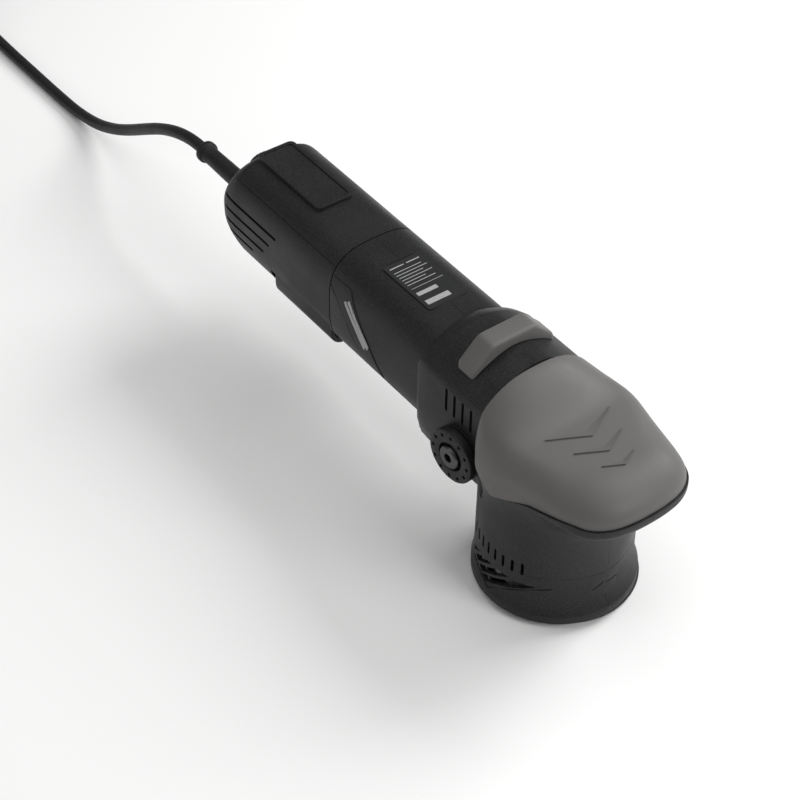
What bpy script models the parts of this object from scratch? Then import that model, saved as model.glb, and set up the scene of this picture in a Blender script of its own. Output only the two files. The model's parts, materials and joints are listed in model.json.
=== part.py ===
# Dual action polisher: barrel grip, bevel drive, eccentric spindle and mains lead.
# Lengths are in metres. The spindle turns about Z at x = 0 of the tool frame, the motor lies along X.
import math

import bmesh
import bpy
from mathutils import Matrix, Vector

for oldObject in list(bpy.data.objects):
    bpy.data.objects.remove(oldObject, do_unlink=True)

mm = 0.001

# ---- driving sizes -------------------------------------------------------------------------------
gap = 0.3 * mm                  # between faces that touch
wallThickness = 2.5 * mm        # moulded shells

motorAxisZ = 80.0 * mm          # height of the motor axis over the surface it stands on
barrelHalfWidth = 28.5 * mm
barrelHalfHeight = 30.5 * mm
barrelRear = -150.0 * mm        # seam between the motor housing and the rear handle
barrelFront = -60.0 * mm
handleRear = -256.5 * mm
handleSplitZ = 102.5 * mm

collarRear = -74.0 * mm
collarHalfWidth = 31.8 * mm
collarTop = 118.0 * mm
collarBottom = 45.5 * mm

rimBottom = 4.0 * mm
neckShift = -2.0 * mm
noseLength = 61.0 * mm

plateRadius = 37.5 * mm
plateEdgeTop = 3.4 * mm
orbitRadius = 4.5 * mm
orbitAngle = math.radians(53.0)
hookThickness = 1.4 * mm

shaftRadius = 4.5 * mm
shaftRearRadius = 3.0 * mm
spindleRadius = 4.0 * mm
bearingRadius = 11.0 * mm
rearBearingRadius = 8.0 * mm
gearTeeth = 27
pinionTeeth = 9
gearPitchRadius = 16.2 * mm
gearFace = 6.0 * mm

dialRadius = 15.0 * mm
dialX = -238.3 * mm
dialBottom = 95.0 * mm
dialThickness = 7.0 * mm

paddleRear = -205.0 * mm
paddleFront = -152.0 * mm
paddleTop = 65.5 * mm
paddleHingeX = -157.5 * mm
paddleHingeZ = 60.0 * mm
paddlePinRadius = 1.6 * mm
paddleTravel = math.radians(3.0)

ringX = -37.6 * mm
ringZ = 68.7 * mm
ringRadius = 14.6 * mm
ringThickness = 5.0 * mm
ringHoleCircle = 11.8 * mm
ringHoles = 12
ringSeat = 1.3 * mm             # how far the middle of its boss stands out of the flank
ringTilt = math.radians(4.0)    # the boss leans towards the nose

sliderX = -45.5 * mm
sliderLength = 11.5 * mm
sliderTop = 124.0 * mm
sliderTravel = 4.0 * mm

cordRadius = 3.5 * mm
sleeveZ = 67.7 * mm
sleeveEnd = -312.0 * mm
coilX = -625.0 * mm
coilY = -52.0 * mm
coilInnerTurn = 31.0 * mm
coilTurnsAcross = 4
coilTurnsHigh = 4

roundSteps = 24
sectionSteps = 36

pinionPitchRadius = gearPitchRadius * pinionTeeth / gearTeeth
barrelTop = motorAxisZ + barrelHalfHeight
barrelBottom = motorAxisZ - barrelHalfHeight
orbitX = orbitRadius * math.cos(orbitAngle)
orbitY = orbitRadius * math.sin(orbitAngle)

# the origin of the part is the middle of the tool's footprint
toolFrame = bpy.data.objects.new("tool_frame", None)
toolFrame.location = (-(sleeveEnd + noseLength) / 2, 0, 0)
bpy.context.collection.objects.link(toolFrame)


# ---- finishes ------------------------------------------------------------------------------------
def finish(name, colour, roughness, metallic=0.0):
    material = bpy.data.materials.new(name)
    material.use_nodes = True
    shader = material.node_tree.nodes["Principled BSDF"]
    shader.inputs["Base Color"].default_value = (*colour, 1.0)
    shader.inputs["Roughness"].default_value = roughness
    shader.inputs["Metallic"].default_value = metallic
    return material


blackPlastic = finish("black_plastic", (0.018, 0.018, 0.019), 0.55)
greyRubber = finish("grey_rubber", (0.19, 0.18, 0.175), 0.7)
blackRubber = finish("black_rubber", (0.012, 0.012, 0.012), 0.8)
steel = finish("steel", (0.56, 0.56, 0.57), 0.3, 1.0)
darkSteel = finish("dark_steel", (0.12, 0.12, 0.125), 0.35, 1.0)
aluminium = finish("aluminium", (0.62, 0.62, 0.63), 0.45, 1.0)
copper = finish("copper", (0.72, 0.35, 0.18), 0.4, 1.0)
brass = finish("brass", (0.75, 0.58, 0.28), 0.35, 1.0)
carbon = finish("carbon", (0.03, 0.03, 0.032), 0.6)
board = finish("board_green", (0.03, 0.13, 0.05), 0.5)
labelPlastic = finish("label", (0.03, 0.03, 0.031), 0.35)
hookFabric = finish("hook_fabric", (0.05, 0.05, 0.05), 0.95)


# ---- mesh tools ----------------------------------------------------------------------------------
def place(mesh, name, material, sharpAngle=32.0, location=(0, 0, 0), rotation=(0, 0, 0)):
    if material:
        mesh.materials.append(material)
    mesh.shade_smooth()
    mesh.set_sharp_from_angle(angle=math.radians(sharpAngle))
    piece = bpy.data.objects.new(name, mesh)
    piece.location = location
    piece.rotation_euler = rotation
    piece.parent = toolFrame
    bpy.context.collection.objects.link(piece)
    return piece


def meshOf(shape, name):
    bmesh.ops.remove_doubles(shape, verts=shape.verts, dist=1e-6)
    bmesh.ops.recalc_face_normals(shape, faces=shape.faces)
    mesh = bpy.data.meshes.new(name)
    shape.to_mesh(mesh)
    shape.free()
    return mesh


def turned(name, material, profile, location=(0, 0, 0), rotation=(0, 0, 0), steps=roundSteps):
    # profile: (radius, height) pairs of a closed outline, turned about local Z
    shape = bmesh.new()
    corners = [shape.verts.new((radius, 0, height)) for radius, height in profile]
    edges = []
    for index, corner in enumerate(corners):
        following = corners[(index + 1) % len(corners)]
        if profile[index][0] > 0 or profile[(index + 1) % len(corners)][0] > 0:
            edges.append(shape.edges.new((corner, following)))
    bmesh.ops.spin(shape, geom=corners + edges, cent=(0, 0, 0), axis=(0, 0, 1), dvec=(0, 0, 0),
                   angle=2 * math.pi, steps=steps, use_merge=True, use_duplicate=False)
    return place(meshOf(shape, name), name, material, 32.0, location, rotation)


def rod(radius, start, end):
    return [(0, start), (radius, start), (radius, end), (0, end)]


def tube(outer, inner, start, end):
    return [(inner, start), (outer, start), (outer, end), (inner, end)]


def block(name, material, low, high, roundness=0.0, location=(0, 0, 0), rotation=(0, 0, 0)):
    shape = bmesh.new()
    bmesh.ops.create_cube(shape, size=1.0)
    size = [high[axis] - low[axis] for axis in range(3)]
    middle = [(high[axis] + low[axis]) / 2 for axis in range(3)]
    bmesh.ops.transform(shape, verts=shape.verts,
                        matrix=Matrix.Translation(middle) @ Matrix.Diagonal((*size, 1)))
    if roundness:
        bmesh.ops.bevel(shape, geom=shape.edges[:], offset=roundness, segments=2, affect='EDGES', profile=0.5)
    return place(meshOf(shape, name), name, material, 32.0, location, rotation)


def prism(name, material, outline, across, start, end):
    # outline in the two axes other than `across`, extruded from start to end
    order = {"X": (2, 0, 1), "Y": (0, 2, 1), "Z": (0, 1, 2)}[across]
    shape = bmesh.new()
    corners = []
    for first, second in outline:
        values = (first, second, start)
        corners.append(shape.verts.new([values[index] for index in order]))
    base = shape.faces.new(corners)
    grown = bmesh.ops.extrude_face_region(shape, geom=[base])
    shift = [0, 0, 0]
    shift["XYZ".index(across)] = end - start
    movedVerts = [item for item in grown["geom"] if isinstance(item, bmesh.types.BMVert)]
    bmesh.ops.translate(shape, verts=movedVerts, vec=shift)
    return place(meshOf(shape, name), name, material)


def loft(name, material, rings):
    # rings: equal lists of points; the first and last are closed with a face
    shape = bmesh.new()
    loops = [[shape.verts.new(point) for point in ring] for ring in rings]
    count = len(loops[0])
    for lower, upper in zip(loops, loops[1:]):
        for index in range(count):
            after = (index + 1) % count
            shape.faces.new((lower[index], lower[after], upper[after], upper[index]))
    bmesh.ops.triangulate(shape, faces=shape.faces[:])
    shape.faces.new(loops[0])
    shape.faces.new(loops[-1])
    return place(meshOf(shape, name), name, material)


def power(value, exponent):
    return math.copysign(abs(value) ** exponent, value)


def barrelRing(x, halfWidth, top, bottom, squareness=3.0):
    centre = (top + bottom) / 2
    halfHeight = (top - bottom) / 2
    ring = []
    for step in range(sectionSteps):
        angle = 2 * math.pi * step / sectionSteps
        y = halfWidth * power(math.cos(angle), 2 / squareness)
        z = centre + halfHeight * power(math.sin(angle), 2 / squareness)
        ring.append((x, y, z))
    return ring


def noseOutline():
    # plan of the palm cover from behind the collar joint to the nose, in millimetres
    side = [(-36, 32.2), (-29, 32.4), (-24, 34.2), (-20, 37.4), (-15.5, 40.2), (-9, 41.7), (-2, 41.9),
            (5, 40.8), (13, 38.9), (21, 37.2), (30, 35.8), (38, 34.4), (45, 32.6), (50.5, 29.8), (54.8, 25.2),
            (58.0, 18.4), (59.6, 9.4)]
    return side + [(60.0, 0)] + [(x, -y) for x, y in reversed(side)]


def outlineReach(angle):
    # distance from the spindle axis to the plan outline in a direction
    points = [(math.atan2(y, x), math.hypot(x, y)) for x, y in noseOutline()]
    points.sort()
    for (before, near), (after, far) in zip(points, points[1:]):
        if before <= angle <= after:
            return (near + (far - near) * (angle - before) / (after - before)) * mm
    return points[0][1] * mm


def headRing(z, front, rear, halfWidth, flare):
    # an oval neck that swells towards the plan outline as flare goes from 0 to 1
    ring = []
    for step in range(sectionSteps):
        angle = 2 * math.pi * step / sectionSteps
        angle = angle if angle <= math.pi else angle - 2 * math.pi
        reach = front if abs(angle) < math.pi / 2 else rear
        oval = 1 / math.hypot(math.cos(angle) / reach, math.sin(angle) / halfWidth)
        radius = oval + (outlineReach(angle) + 1.2 * mm - oval) * flare
        if abs(angle) > 2.4:
            radius = min(radius, 44 * mm)
        x, y = radius * math.cos(angle), radius * math.sin(angle)
        if x < -15 * mm and flare > 0:
            y = max(-collarHalfWidth, min(collarHalfWidth, y))
        ring.append((x, y, z))
    return ring


def cutter(piece):
    piece.hide_render = True
    piece.display_type = 'WIRE'
    return piece


def carve(piece, tool, operation='DIFFERENCE'):
    step = piece.modifiers.new(operation.lower(), 'BOOLEAN')
    step.operation = operation
    step.object = cutter(tool)
    return piece


def cutBlock(name, low, high):
    return block(name, None, low, high)


def cutRod(name, radius, start, end, location, rotation=(0, 0, 0)):
    return turned(name, None, rod(radius, start, end), location, rotation)


alongX = (0, math.pi / 2, 0)          # turns local Z to the tool's X
alongY = (-math.pi / 2, 0, 0)         # turns local Z to the tool's Y
motorAxis = (0, 0, motorAxisZ)


# ---- rear handle ---------------------------------------------------------------------------------
def handleRings(inset, rear, front):
    top, bottom, halfWidth = barrelTop - inset, barrelBottom + inset, barrelHalfWidth - inset
    rings = [barrelRing(front, halfWidth, top, bottom)]
    endShape = ((22.0, 0.0, 0.0, 0.0), (16.5, 0.2, 0.8, 1.5), (10.5, 0.8, 6.0, 5.5), (5.5, 2.6, 14.0, 11.0),
                (1.6, 6.5, 21.8, 18.0), (0.0, 11.0, 26.5, 23.0))
    for ahead, narrower, lower, higher in endShape:
        rings.append(barrelRing(rear + ahead * mm, halfWidth - narrower * mm, top - lower * mm,
                                bottom + higher * mm))
    return rings


def handleBody(name):
    body = loft(name, blackPlastic, handleRings(0, handleRear, barrelRear - gap))
    carve(body, loft(name + "_hollow", None, handleRings(wallThickness, handleRear + wallThickness,
                                                         barrelRear + mm)))
    return body


def buildHandleLower():
    shell = handleBody("handle_lower_shell")
    carve(shell, cutBlock("cut_handle_top", (-0.27, -0.04, handleSplitZ - gap / 2), (-0.14, 0.04, 0.13)))
    carve(shell, cutBlock("cut_paddle_well", (paddleRear - gap, -0.04, 0.03),
                          (paddleFront + gap, 0.04, paddleTop + gap)))
    for side, name in ((-1, "left"), (1, "right")):
        near, far = sorted((side * 19.5 * mm, side * 27 * mm))
        ear = block(f"cut_{name}_ear", None, (paddleHingeX - 3 * mm, near, paddleHingeZ - 3.4 * mm),
                    (paddleHingeX + 3 * mm, far, paddleTop + 4 * mm))
        near, far = sorted((side * 22.6 * mm, side * 30 * mm))
        carve(ear, cutBlock(f"cut_{name}_ear_side", (paddleHingeX - 4 * mm, near, 0.05),
                            (paddleHingeX + 4 * mm, far, paddleTop + gap)))
        carve(ear, cutRod(f"cut_{name}_ear_hole", paddlePinRadius + gap, -0.03, 0.03,
                          (paddleHingeX, 0, paddleHingeZ), alongY))
        carve(shell, ear, 'UNION')
    carve(shell, cutRod("cut_sleeve_hole", 6.6 * mm, -0.262, -0.24, (0, 0, sleeveZ), alongX))
    carve(shell, cutBlock("cut_dial_slot", (handleRear - mm, -dialRadius - gap, dialBottom - gap),
                          (dialX - 1 * mm, dialRadius + gap, handleSplitZ + 2 * mm)))
    slotStarts = (-247.0, -247.0, -246.0, -244.0)
    slotEnds = (-198.4, -204.4, -210.0, -221.0)
    slotHeights = (90.0, 82.4, 75.0, 68.6)
    for index, (start, end, height) in enumerate(zip(slotStarts, slotEnds, slotHeights)):
        for side, name in ((-1, "left"), (1, "right")):
            near, far = sorted((side * 20.0 * mm, side * 40.0 * mm))
            carve(shell, cutBlock(f"cut_{name}_vent_{index}", (start * mm, near, (height - 0.9) * mm),
                                  (end * mm, far, (height + 0.9) * mm)))


def buildHandleUpper():
    cover = handleBody("handle_upper_cover")
    carve(cover, cutBlock("cut_handle_bottom", (-0.27, -0.04, 0.03), (-0.14, 0.04, handleSplitZ + gap / 2)))
    boss = block("cut_thumb_rest", None, (-240.0 * mm, -11.3 * mm, barrelTop - 2 * mm),
                 (-183.0 * mm, 11.3 * mm, barrelTop + 1.8 * mm), 0.9 * mm)
    carve(cover, boss, 'UNION')


def buildStrainRelief():
    outline = [(0, -241), (8.5, -241), (8.5, -244.5), (6.2, -244.5), (6.2, -256), (5.6, -262), (5.0, -300),
               (5.0, -307), (6.3, -307.6), (6.3, -311.2), (5.4, -312), (0, -312)]
    turned("strain_relief", blackRubber, [(radius * mm, x * mm) for radius, x in outline],
           (0, 0, sleeveZ), alongX)
    block("cord_clamp", blackPlastic, (-240.7 * mm, -12 * mm, sleeveZ - 3 * mm),
          (-234 * mm, 12 * mm, sleeveZ + 6 * mm), 0.8 * mm)


def buildSpeedDial():
    dial = turned("speed_dial", blackPlastic,
                  [(0, 0), (dialRadius - mm, 0), (dialRadius - gap, mm), (dialRadius - gap, dialThickness - mm),
                   (dialRadius - mm, dialThickness), (0, dialThickness)],
                  (dialX, 0, dialBottom), steps=36)
    block("speed_board", board, (-235 * mm, -18 * mm, 90 * mm), (-198 * mm, 18 * mm, 91.6 * mm))
    turned("dial_post", darkSteel, rod(2 * mm, 91.9 * mm, dialBottom - gap), (dialX + 6 * mm, 0, 0))
    return dial


# ---- paddle switch -------------------------------------------------------------------------------
def buildPaddle():
    inner = barrelHalfWidth - wallThickness - 0.6 * mm
    low = barrelBottom - 2.6 * mm
    floorTop = low + 3.0 * mm
    top = paddleTop - 0.4 * mm
    outline = [(-inner + 7 * mm, low), (inner - 7 * mm, low), (inner, low + 8 * mm), (inner, top),
               (inner - 2 * mm, top), (inner - 2 * mm, low + 9 * mm),
               (inner - 8 * mm, floorTop), (-inner + 8 * mm, floorTop), (-inner + 2 * mm, low + 9 * mm),
               (-inner + 2 * mm, top), (-inner, top), (-inner, low + 8 * mm)]
    paddle = prism("paddle_lever", blackPlastic, outline, "X", paddleRear + 0.7 * mm, paddleFront - 0.7 * mm)
    for index in range(4):
        x = paddleRear + (6 + 9 * index) * mm
        carve(paddle, cutBlock(f"cut_ridge_{index}", (x, -0.03, low - mm), (x + 3 * mm, 0.03, low + 0.8 * mm)))
    carve(paddle, cutRod("cut_paddle_pin", paddlePinRadius + 0.05 * mm, -0.04, 0.04,
                         (paddleHingeX, 0, paddleHingeZ), alongY))
    carve(paddle, block("cut_paddle_slope", None, (-60 * mm, -0.04, 0), (0, 0.04, 10 * mm),
                        location=(paddleHingeX, 0, top), rotation=(0, -paddleTravel - 0.004, 0)))
    pushPad = block("cut_push_pad", None, (-190 * mm, -4 * mm, floorTop - mm), (-186 * mm, 4 * mm, 57.4 * mm))
    carve(paddle, pushPad, 'UNION')
    turned("paddle_pin", steel, rod(paddlePinRadius, -inner + 0.4 * mm, inner - 0.4 * mm),
           (paddleHingeX, 0, paddleHingeZ), alongY, 16)
    switch = block("switch_body", blackPlastic, (-200 * mm, -10 * mm, 62.6 * mm), (-178.6 * mm, 10 * mm, 84 * mm),
                   0.8 * mm)
    carve(switch, cutRod("cut_button_bore", 2.6 * mm + gap, 60 * mm, 69 * mm, (-188 * mm, 0, 0)))
    turned("switch_button", darkSteel, rod(2.6 * mm, 57.7 * mm, 66.5 * mm), (-188 * mm, 0, 0), steps=16)


# ---- motor ---------------------------------------------------------------------------------------
def star(name, material, teeth, outer, root, toothShare, start, end):
    # ribbed bar along the motor axis: a polygon with one rib for each tooth
    outline = []
    pitch = 2 * math.pi / teeth
    for tooth in range(teeth):
        middle = tooth * pitch
        for radius, shift in ((root, -0.5), (outer, -0.5), (outer, 0.5), (root, 0.5)):
            angle = middle + shift * toothShare * pitch
            outline.append((radius * math.cos(angle), motorAxisZ + radius * math.sin(angle)))
    return prism(name, material, outline, "X", start, end)


def buildMotor():
    shaft = [(0, -178), (3, -178), (3, -168), (4.5, -167.5), (4.5, -24), (1.9, -24), (1.9, -11.2), (0, -11.2)]
    turned("armature_shaft", steel, [(radius * mm, x * mm) for radius, x in shaft], motorAxis, alongX)
    bore = shaftRadius + gap
    core = star("armature_core", darkSteel, 12, 15.5 * mm, 12.0 * mm, 0.72, -139 * mm, -97 * mm)
    carve(core, cutRod("cut_core_bore", bore, -0.15, -0.09, motorAxis, alongX))
    bars = star("commutator", copper, 18, 10.0 * mm, 9.4 * mm, 0.8, -164 * mm, -149 * mm)
    carve(bars, cutRod("cut_commutator_bore", bore, -0.17, -0.14, motorAxis, alongX))
    fan = star("cooling_fan", blackPlastic, 14, 24.0 * mm, 9.0 * mm, 0.14, -86 * mm, -76 * mm)
    carve(fan, cutRod("cut_fan_bore", bore, -0.09, -0.07, motorAxis, alongX))
    turned("stator_core", darkSteel, tube(25.3 * mm, 16.2 * mm, -138 * mm, -98 * mm), motorAxis, alongX, 32)
    turned("field_winding_front", copper, tube(24.0 * mm, 17.0 * mm, -97.5 * mm, -91 * mm), motorAxis, alongX)
    turned("field_winding_rear", copper, tube(24.0 * mm, 17.0 * mm, -145 * mm, -138.5 * mm), motorAxis, alongX)
    turned("fan_baffle", blackPlastic, tube(25.4 * mm, 18.0 * mm, -90 * mm, -88 * mm), motorAxis, alongX)
    turned("front_motor_bearing", steel, tube(bearingRadius, bore, -59.7 * mm, -53 * mm), motorAxis, alongX)
    turned("rear_motor_bearing", steel, tube(rearBearingRadius, shaftRearRadius + gap, -176 * mm, -170 * mm),
           motorAxis, alongX)
    bracket = block("rear_bearing_bracket", blackPlastic, (-177 * mm, -24.5 * mm, motorAxisZ - 10 * mm),
                    (-168.5 * mm, 24.5 * mm, motorAxisZ + 10 * mm), mm)
    carve(bracket, cutRod("cut_bracket_seat", rearBearingRadius + gap, -0.18, -0.16, motorAxis, alongX))
    for side, name in ((-1, "left"), (1, "right")):
        near, far = sorted((side * 11.8 * mm, side * 24.3 * mm))
        holder = block(f"brush_holder_{name}", brass, (-162 * mm, near, motorAxisZ - 5 * mm),
                       (-151 * mm, far, motorAxisZ + 5 * mm))
        carve(holder, cutBlock(f"cut_holder_{name}", (-160.3 * mm, near - mm, motorAxisZ - 3.3 * mm),
                               (-152.7 * mm, far + mm, motorAxisZ + 3.3 * mm)))
        near, far = sorted((side * 10.3 * mm, side * 22.0 * mm))
        block(f"carbon_brush_{name}", carbon, (-160 * mm, near, motorAxisZ - 3 * mm),
              (-153 * mm, far, motorAxisZ + 3 * mm))


def buildMotorHousing():
    rings = [barrelRing(x, barrelHalfWidth, barrelTop, barrelBottom) for x in (barrelRear, barrelFront)]
    housing = loft("motor_housing", blackPlastic, rings)
    inner = [barrelRing(x, barrelHalfWidth - wallThickness, barrelTop - wallThickness,
                        barrelBottom + wallThickness) for x in (barrelRear - mm, barrelFront + mm)]
    carve(housing, loft("cut_motor_hollow", None, inner))
    labelDepth = 0.9 * mm
    carve(housing, cutBlock("cut_label_recess", (-128.8 * mm, -11.9 * mm, barrelTop - labelDepth),
                            (-89.4 * mm, 11.9 * mm, barrelTop + mm)))
    block("rating_label", labelPlastic, (-128.5 * mm, -11.6 * mm, barrelTop - labelDepth + gap),
          (-89.7 * mm, 11.6 * mm, barrelTop - 0.2 * mm))


# ---- bevel drive ---------------------------------------------------------------------------------
def bevelWheel(name, teeth, pitchRadius, matingRadius, boreRadius, backRadius, backHeight, rotation):
    # local Z runs to the point where the two axes cross, which is the local origin
    slant = math.hypot(pitchRadius, matingRadius)
    inward = 1 - gearFace / slant
    pitch = 2 * math.pi / teeth
    addendum, dedendum = 0.75 * mm, 1.0 * mm
    halfTip, halfRoot = 0.4 * mm / pitchRadius, 1.0 * mm / pitchRadius
    rings = {"outer": [], "inner": [], "bore": [], "boreBack": [], "back": []}
    for tooth in range(teeth):
        for angle, depth in ((-halfRoot, -dedendum), (-halfTip, addendum), (halfTip, addendum),
                             (halfRoot, -dedendum)):
            turn = tooth * pitch + angle
            radius = pitchRadius + depth * matingRadius / slant
            height = -matingRadius + depth * pitchRadius / slant
            across = Vector((math.cos(turn), math.sin(turn), 0))
            rings["outer"].append(across * radius + Vector((0, 0, height)))
            rings["inner"].append(across * radius * inward + Vector((0, 0, height * inward)))
            rings["bore"].append(across * boreRadius + Vector((0, 0, -matingRadius * inward)))
            rings["boreBack"].append(across * boreRadius + Vector((0, 0, backHeight)))
            rings["back"].append(across * backRadius + Vector((0, 0, backHeight)))
    shape = bmesh.new()
    loops = [[shape.verts.new(point) for point in rings[key]]
             for key in ("outer", "inner", "bore", "boreBack", "back")]
    count = len(loops[0])
    for first, second in zip(loops, loops[1:] + loops[:1]):
        for index in range(count):
            after = (index + 1) % count
            shape.faces.new((first[index], first[after], second[after], second[index]))
    return place(meshOf(shape, name), name, steel, 20.0, motorAxis, rotation)


def buildBevelPair():
    bevelWheel("bevel_gear", gearTeeth, gearPitchRadius, pinionPitchRadius, spindleRadius + gap,
               14 * mm, -12.5 * mm, (0, 0, 0))
    bevelWheel("pinion_gear", pinionTeeth, pinionPitchRadius, gearPitchRadius, 2.2 * mm,
               4.3 * mm, -23.6 * mm, alongX)


# ---- gear case and spindle -----------------------------------------------------------------------
def buildGearCase():
    case = turned("gear_case", aluminium, rod(25 * mm, 36 * mm, 98 * mm), steps=32)
    carve(case, turned("cut_case_arm", None, rod(22 * mm, -62 * mm, -5 * mm), motorAxis, alongX), 'UNION')
    seat = bearingRadius + gap
    hollow = [(0, 35), (22, 35), (22, 87), (11.3, 87), (11.3, 95), (0, 95)]
    carve(case, turned("cut_case_hollow", None, [(radius * mm, z * mm) for radius, z in hollow]))
    armHollow = [(0, -63 * mm), (9.2 * mm, -63 * mm), (9.2 * mm, -60 * mm), (seat, -60 * mm),
                 (seat, -52.6 * mm), (18.5 * mm, -52.6 * mm), (18.5 * mm, -5 * mm), (0, -5 * mm)]
    carve(case, turned("cut_arm_hollow", None, armHollow, motorAxis, alongX))
    base = [(5, 32), (26, 32), (26, 35.7), (21.6, 35.7), (21.6, 38), (14, 38), (14, 42.5), (11.3, 42.5),
            (11.3, 34), (5, 34)]
    turned("gear_case_base", aluminium, [(radius * mm, z * mm) for radius, z in base], steps=32)
    turned("lower_spindle_bearing", steel, tube(bearingRadius, spindleRadius + gap, 34.3 * mm, 42.3 * mm))
    turned("upper_spindle_bearing", steel, tube(bearingRadius, spindleRadius + gap, 87.4 * mm, 94.6 * mm))


def buildSpindle():
    turned("drive_spindle", steel, rod(spindleRadius, 22.3 * mm, 94.2 * mm))
    weight = turned("counterweight", aluminium,
                    [(radius * mm, z * mm) for radius, z in
                     ((0, 11.4), (14.5, 11.4), (14.5, 24), (8, 24), (8, 31), (0, 31))])
    lobe = []
    for step in range(13):
        angle = orbitAngle + math.pi / 2 + math.pi * step / 12
        lobe.append((33.5 * mm * math.cos(angle), 33.5 * mm * math.sin(angle)))
    carve(weight, prism("cut_lobe", None, lobe, "Z", 14 * mm, 24 * mm), 'UNION')
    carve(weight, cutRod("cut_spindle_seat", spindleRadius + gap, 22 * mm, 32 * mm, (0, 0, 0)))
    carve(weight, cutRod("cut_bearing_pocket", 9.3 * mm, 10 * mm, 19 * mm, (orbitX, orbitY, 0)))
    turned("eccentric_bearing", steel, tube(9.0 * mm, 4.3 * mm, 11.6 * mm, 18.7 * mm), (orbitX, orbitY, 0))


def buildPlate():
    centre = (orbitX, orbitY, 0)
    stub = [(2.8, 9.7), (6.5, 9.7), (6.5, 11.2), (4, 11.2), (4, 18.5), (2.8, 18.5)]
    turned("plate_stub", darkSteel, [(radius * mm, z * mm) for radius, z in stub], centre)
    bottom = hookThickness + gap
    plate = [(3.3 * mm, 4.6 * mm), (3.3 * mm, 9.4 * mm), (12 * mm, 9.4 * mm), (14 * mm, 8.4 * mm),
             (29 * mm, 6.2 * mm), (31.5 * mm, 4.2 * mm), (plateRadius - 2 * mm, plateEdgeTop),
             (plateRadius, plateEdgeTop - mm), (plateRadius, bottom), (7 * mm, bottom), (7 * mm, 4.6 * mm)]
    turned("backing_plate", blackRubber, plate, centre, steps=40)
    turned("hook_face", hookFabric, tube(plateRadius - 0.7 * mm, 7 * mm, 0, hookThickness), centre, steps=40)
    screw = turned("plate_screw", darkSteel,
                   [(0, 1.8 * mm), (5.5 * mm, 1.8 * mm), (5.5 * mm, 4.3 * mm), (2.5 * mm, 4.3 * mm),
                    (2.5 * mm, 17.5 * mm), (0, 17.5 * mm)], centre)
    hexagon = turned("cut_plate_hex", None, rod(2.6 * mm, 1 * mm, 3.6 * mm), centre, steps=6)
    carve(screw, hexagon)


# ---- head ----------------------------------------------------------------------------------------
def partingOutline(offset):
    # side view of the joint between the head shells and the palm cover
    points = ((75, 88.6), (45, 88.6), (20, 83), (-2, 74), (-19, 81.5), (-24, 103), (-24, 140), (75, 140))
    return [(x * mm - offset, z * mm - offset) for x, z in points]


def collarRing(x, halfWidth, top, bottom):
    # crowned roof, a soft edge at shoulder height, flat flanks and rounded lower corners
    middle = top - 16.5 * mm
    side = []
    for share, drop in ((0.1, 0.15), (0.25, 1.1), (0.42, 3.2), (0.6, 6.0), (0.77, 9.6), (0.9, 13.0),
                        (0.97, 15.2)):
        side.append((share, top - drop * mm))
    for share, climb in ((1.0, 1.0), (1.0, 0.75), (1.0, 0.5), (0.985, 0.3), (0.93, 0.15), (0.8, 0.05),
                         (0.55, 0.0)):
        side.append((share, bottom + climb * (middle - 1.5 * mm - bottom)))
    right = [(x, share * halfWidth, z) for share, z in side]
    left = [(x, -share * halfWidth, z) for share, z in reversed(side)]
    return right + left


def collarRings(inset, rear, front):
    low, high = collarBottom + inset, collarTop - inset
    half = collarHalfWidth - inset
    return [collarRing(rear, half - 1.2 * mm, high - 4.6 * mm, low + 1.5 * mm),
            collarRing(rear + 3 * mm, half - 0.4 * mm, high - 2.4 * mm, low + 0.6 * mm),
            collarRing(rear + 9 * mm, half, high, low),
            collarRing(front, half, high, low)]


def neckRings(inset, bottom, top):
    # height, nose reach, rear reach, half width, flare towards the lip
    stations = ((4, 41, 41, 41, 0), (9, 41, 41, 41, 0), (14, 37.4, 40.8, 39, 0), (56, 36.6, 41, 38.4, 0),
                (66, 36.8, 42, 38.4, 0.12), (74, 37.6, 43, 38.4, 0.38), (80, 39, 44, 38.4, 0.76),
                (83.5, 41, 44, 38.6, 0.98), (89, 41, 44, 38.6, 1.0))
    rings = []
    for height, front, rear, half, flare in stations:
        z = min(max(height * mm, bottom), top)
        ring = headRing(z, front * mm, rear * mm, half * mm, flare)
        rings.append([(x - inset * x / math.hypot(x, y), y - inset * y / math.hypot(x, y), z)
                      for x, y, z in ring])
    return rings


def wrapCut(name, corners):
    # cutter through the neck wall, its corners given as angle in degrees and height in millimetres
    rings = []
    for radius in (30 * mm, 50 * mm):
        rings.append([(neckShift + radius * math.cos(math.radians(angle)),
                       radius * math.sin(math.radians(angle)),
                       z * mm) for angle, z in corners])
    return loft(name, None, rings)


def headBody(name):
    body = loft(name, blackPlastic, collarRings(0, collarRear, 10 * mm))
    carve(body, loft(name + "_neck", None, neckRings(0, rimBottom, 89 * mm)), 'UNION')
    for side, label in ((-1, "near"), (1, "far")):
        seat = turned(f"{name}_{label}_boss", None, rod(ringRadius - 0.6 * mm, -20 * mm, 0),
                      ringCentre(side), ringTurn(side))
        carve(body, seat, 'UNION')
    carve(body, loft(name + "_collar_hollow", None, collarRings(wallThickness, collarRear - mm, 8 * mm)))
    inner = neckRings(wallThickness, rimBottom, 86 * mm)
    lowest = [(x, y, rimBottom - mm) for x, y, z in inner[0]]
    highest = [(x, y, 92 * mm) for x, y, z in inner[-1]]
    carve(body, loft(name + "_neck_hollow", None, [lowest] + inner[1:] + [highest]))
    carve(body, prism(name + "_top_trim", None, partingOutline(gap), "Y", -0.06, 0.06))
    seat = [barrelRing(x, barrelHalfWidth + gap, barrelTop + gap, barrelBottom - gap)
            for x in (collarRear - mm, barrelFront + gap)]
    carve(body, loft(name + "_barrel_seat", None, seat))
    return body


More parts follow.
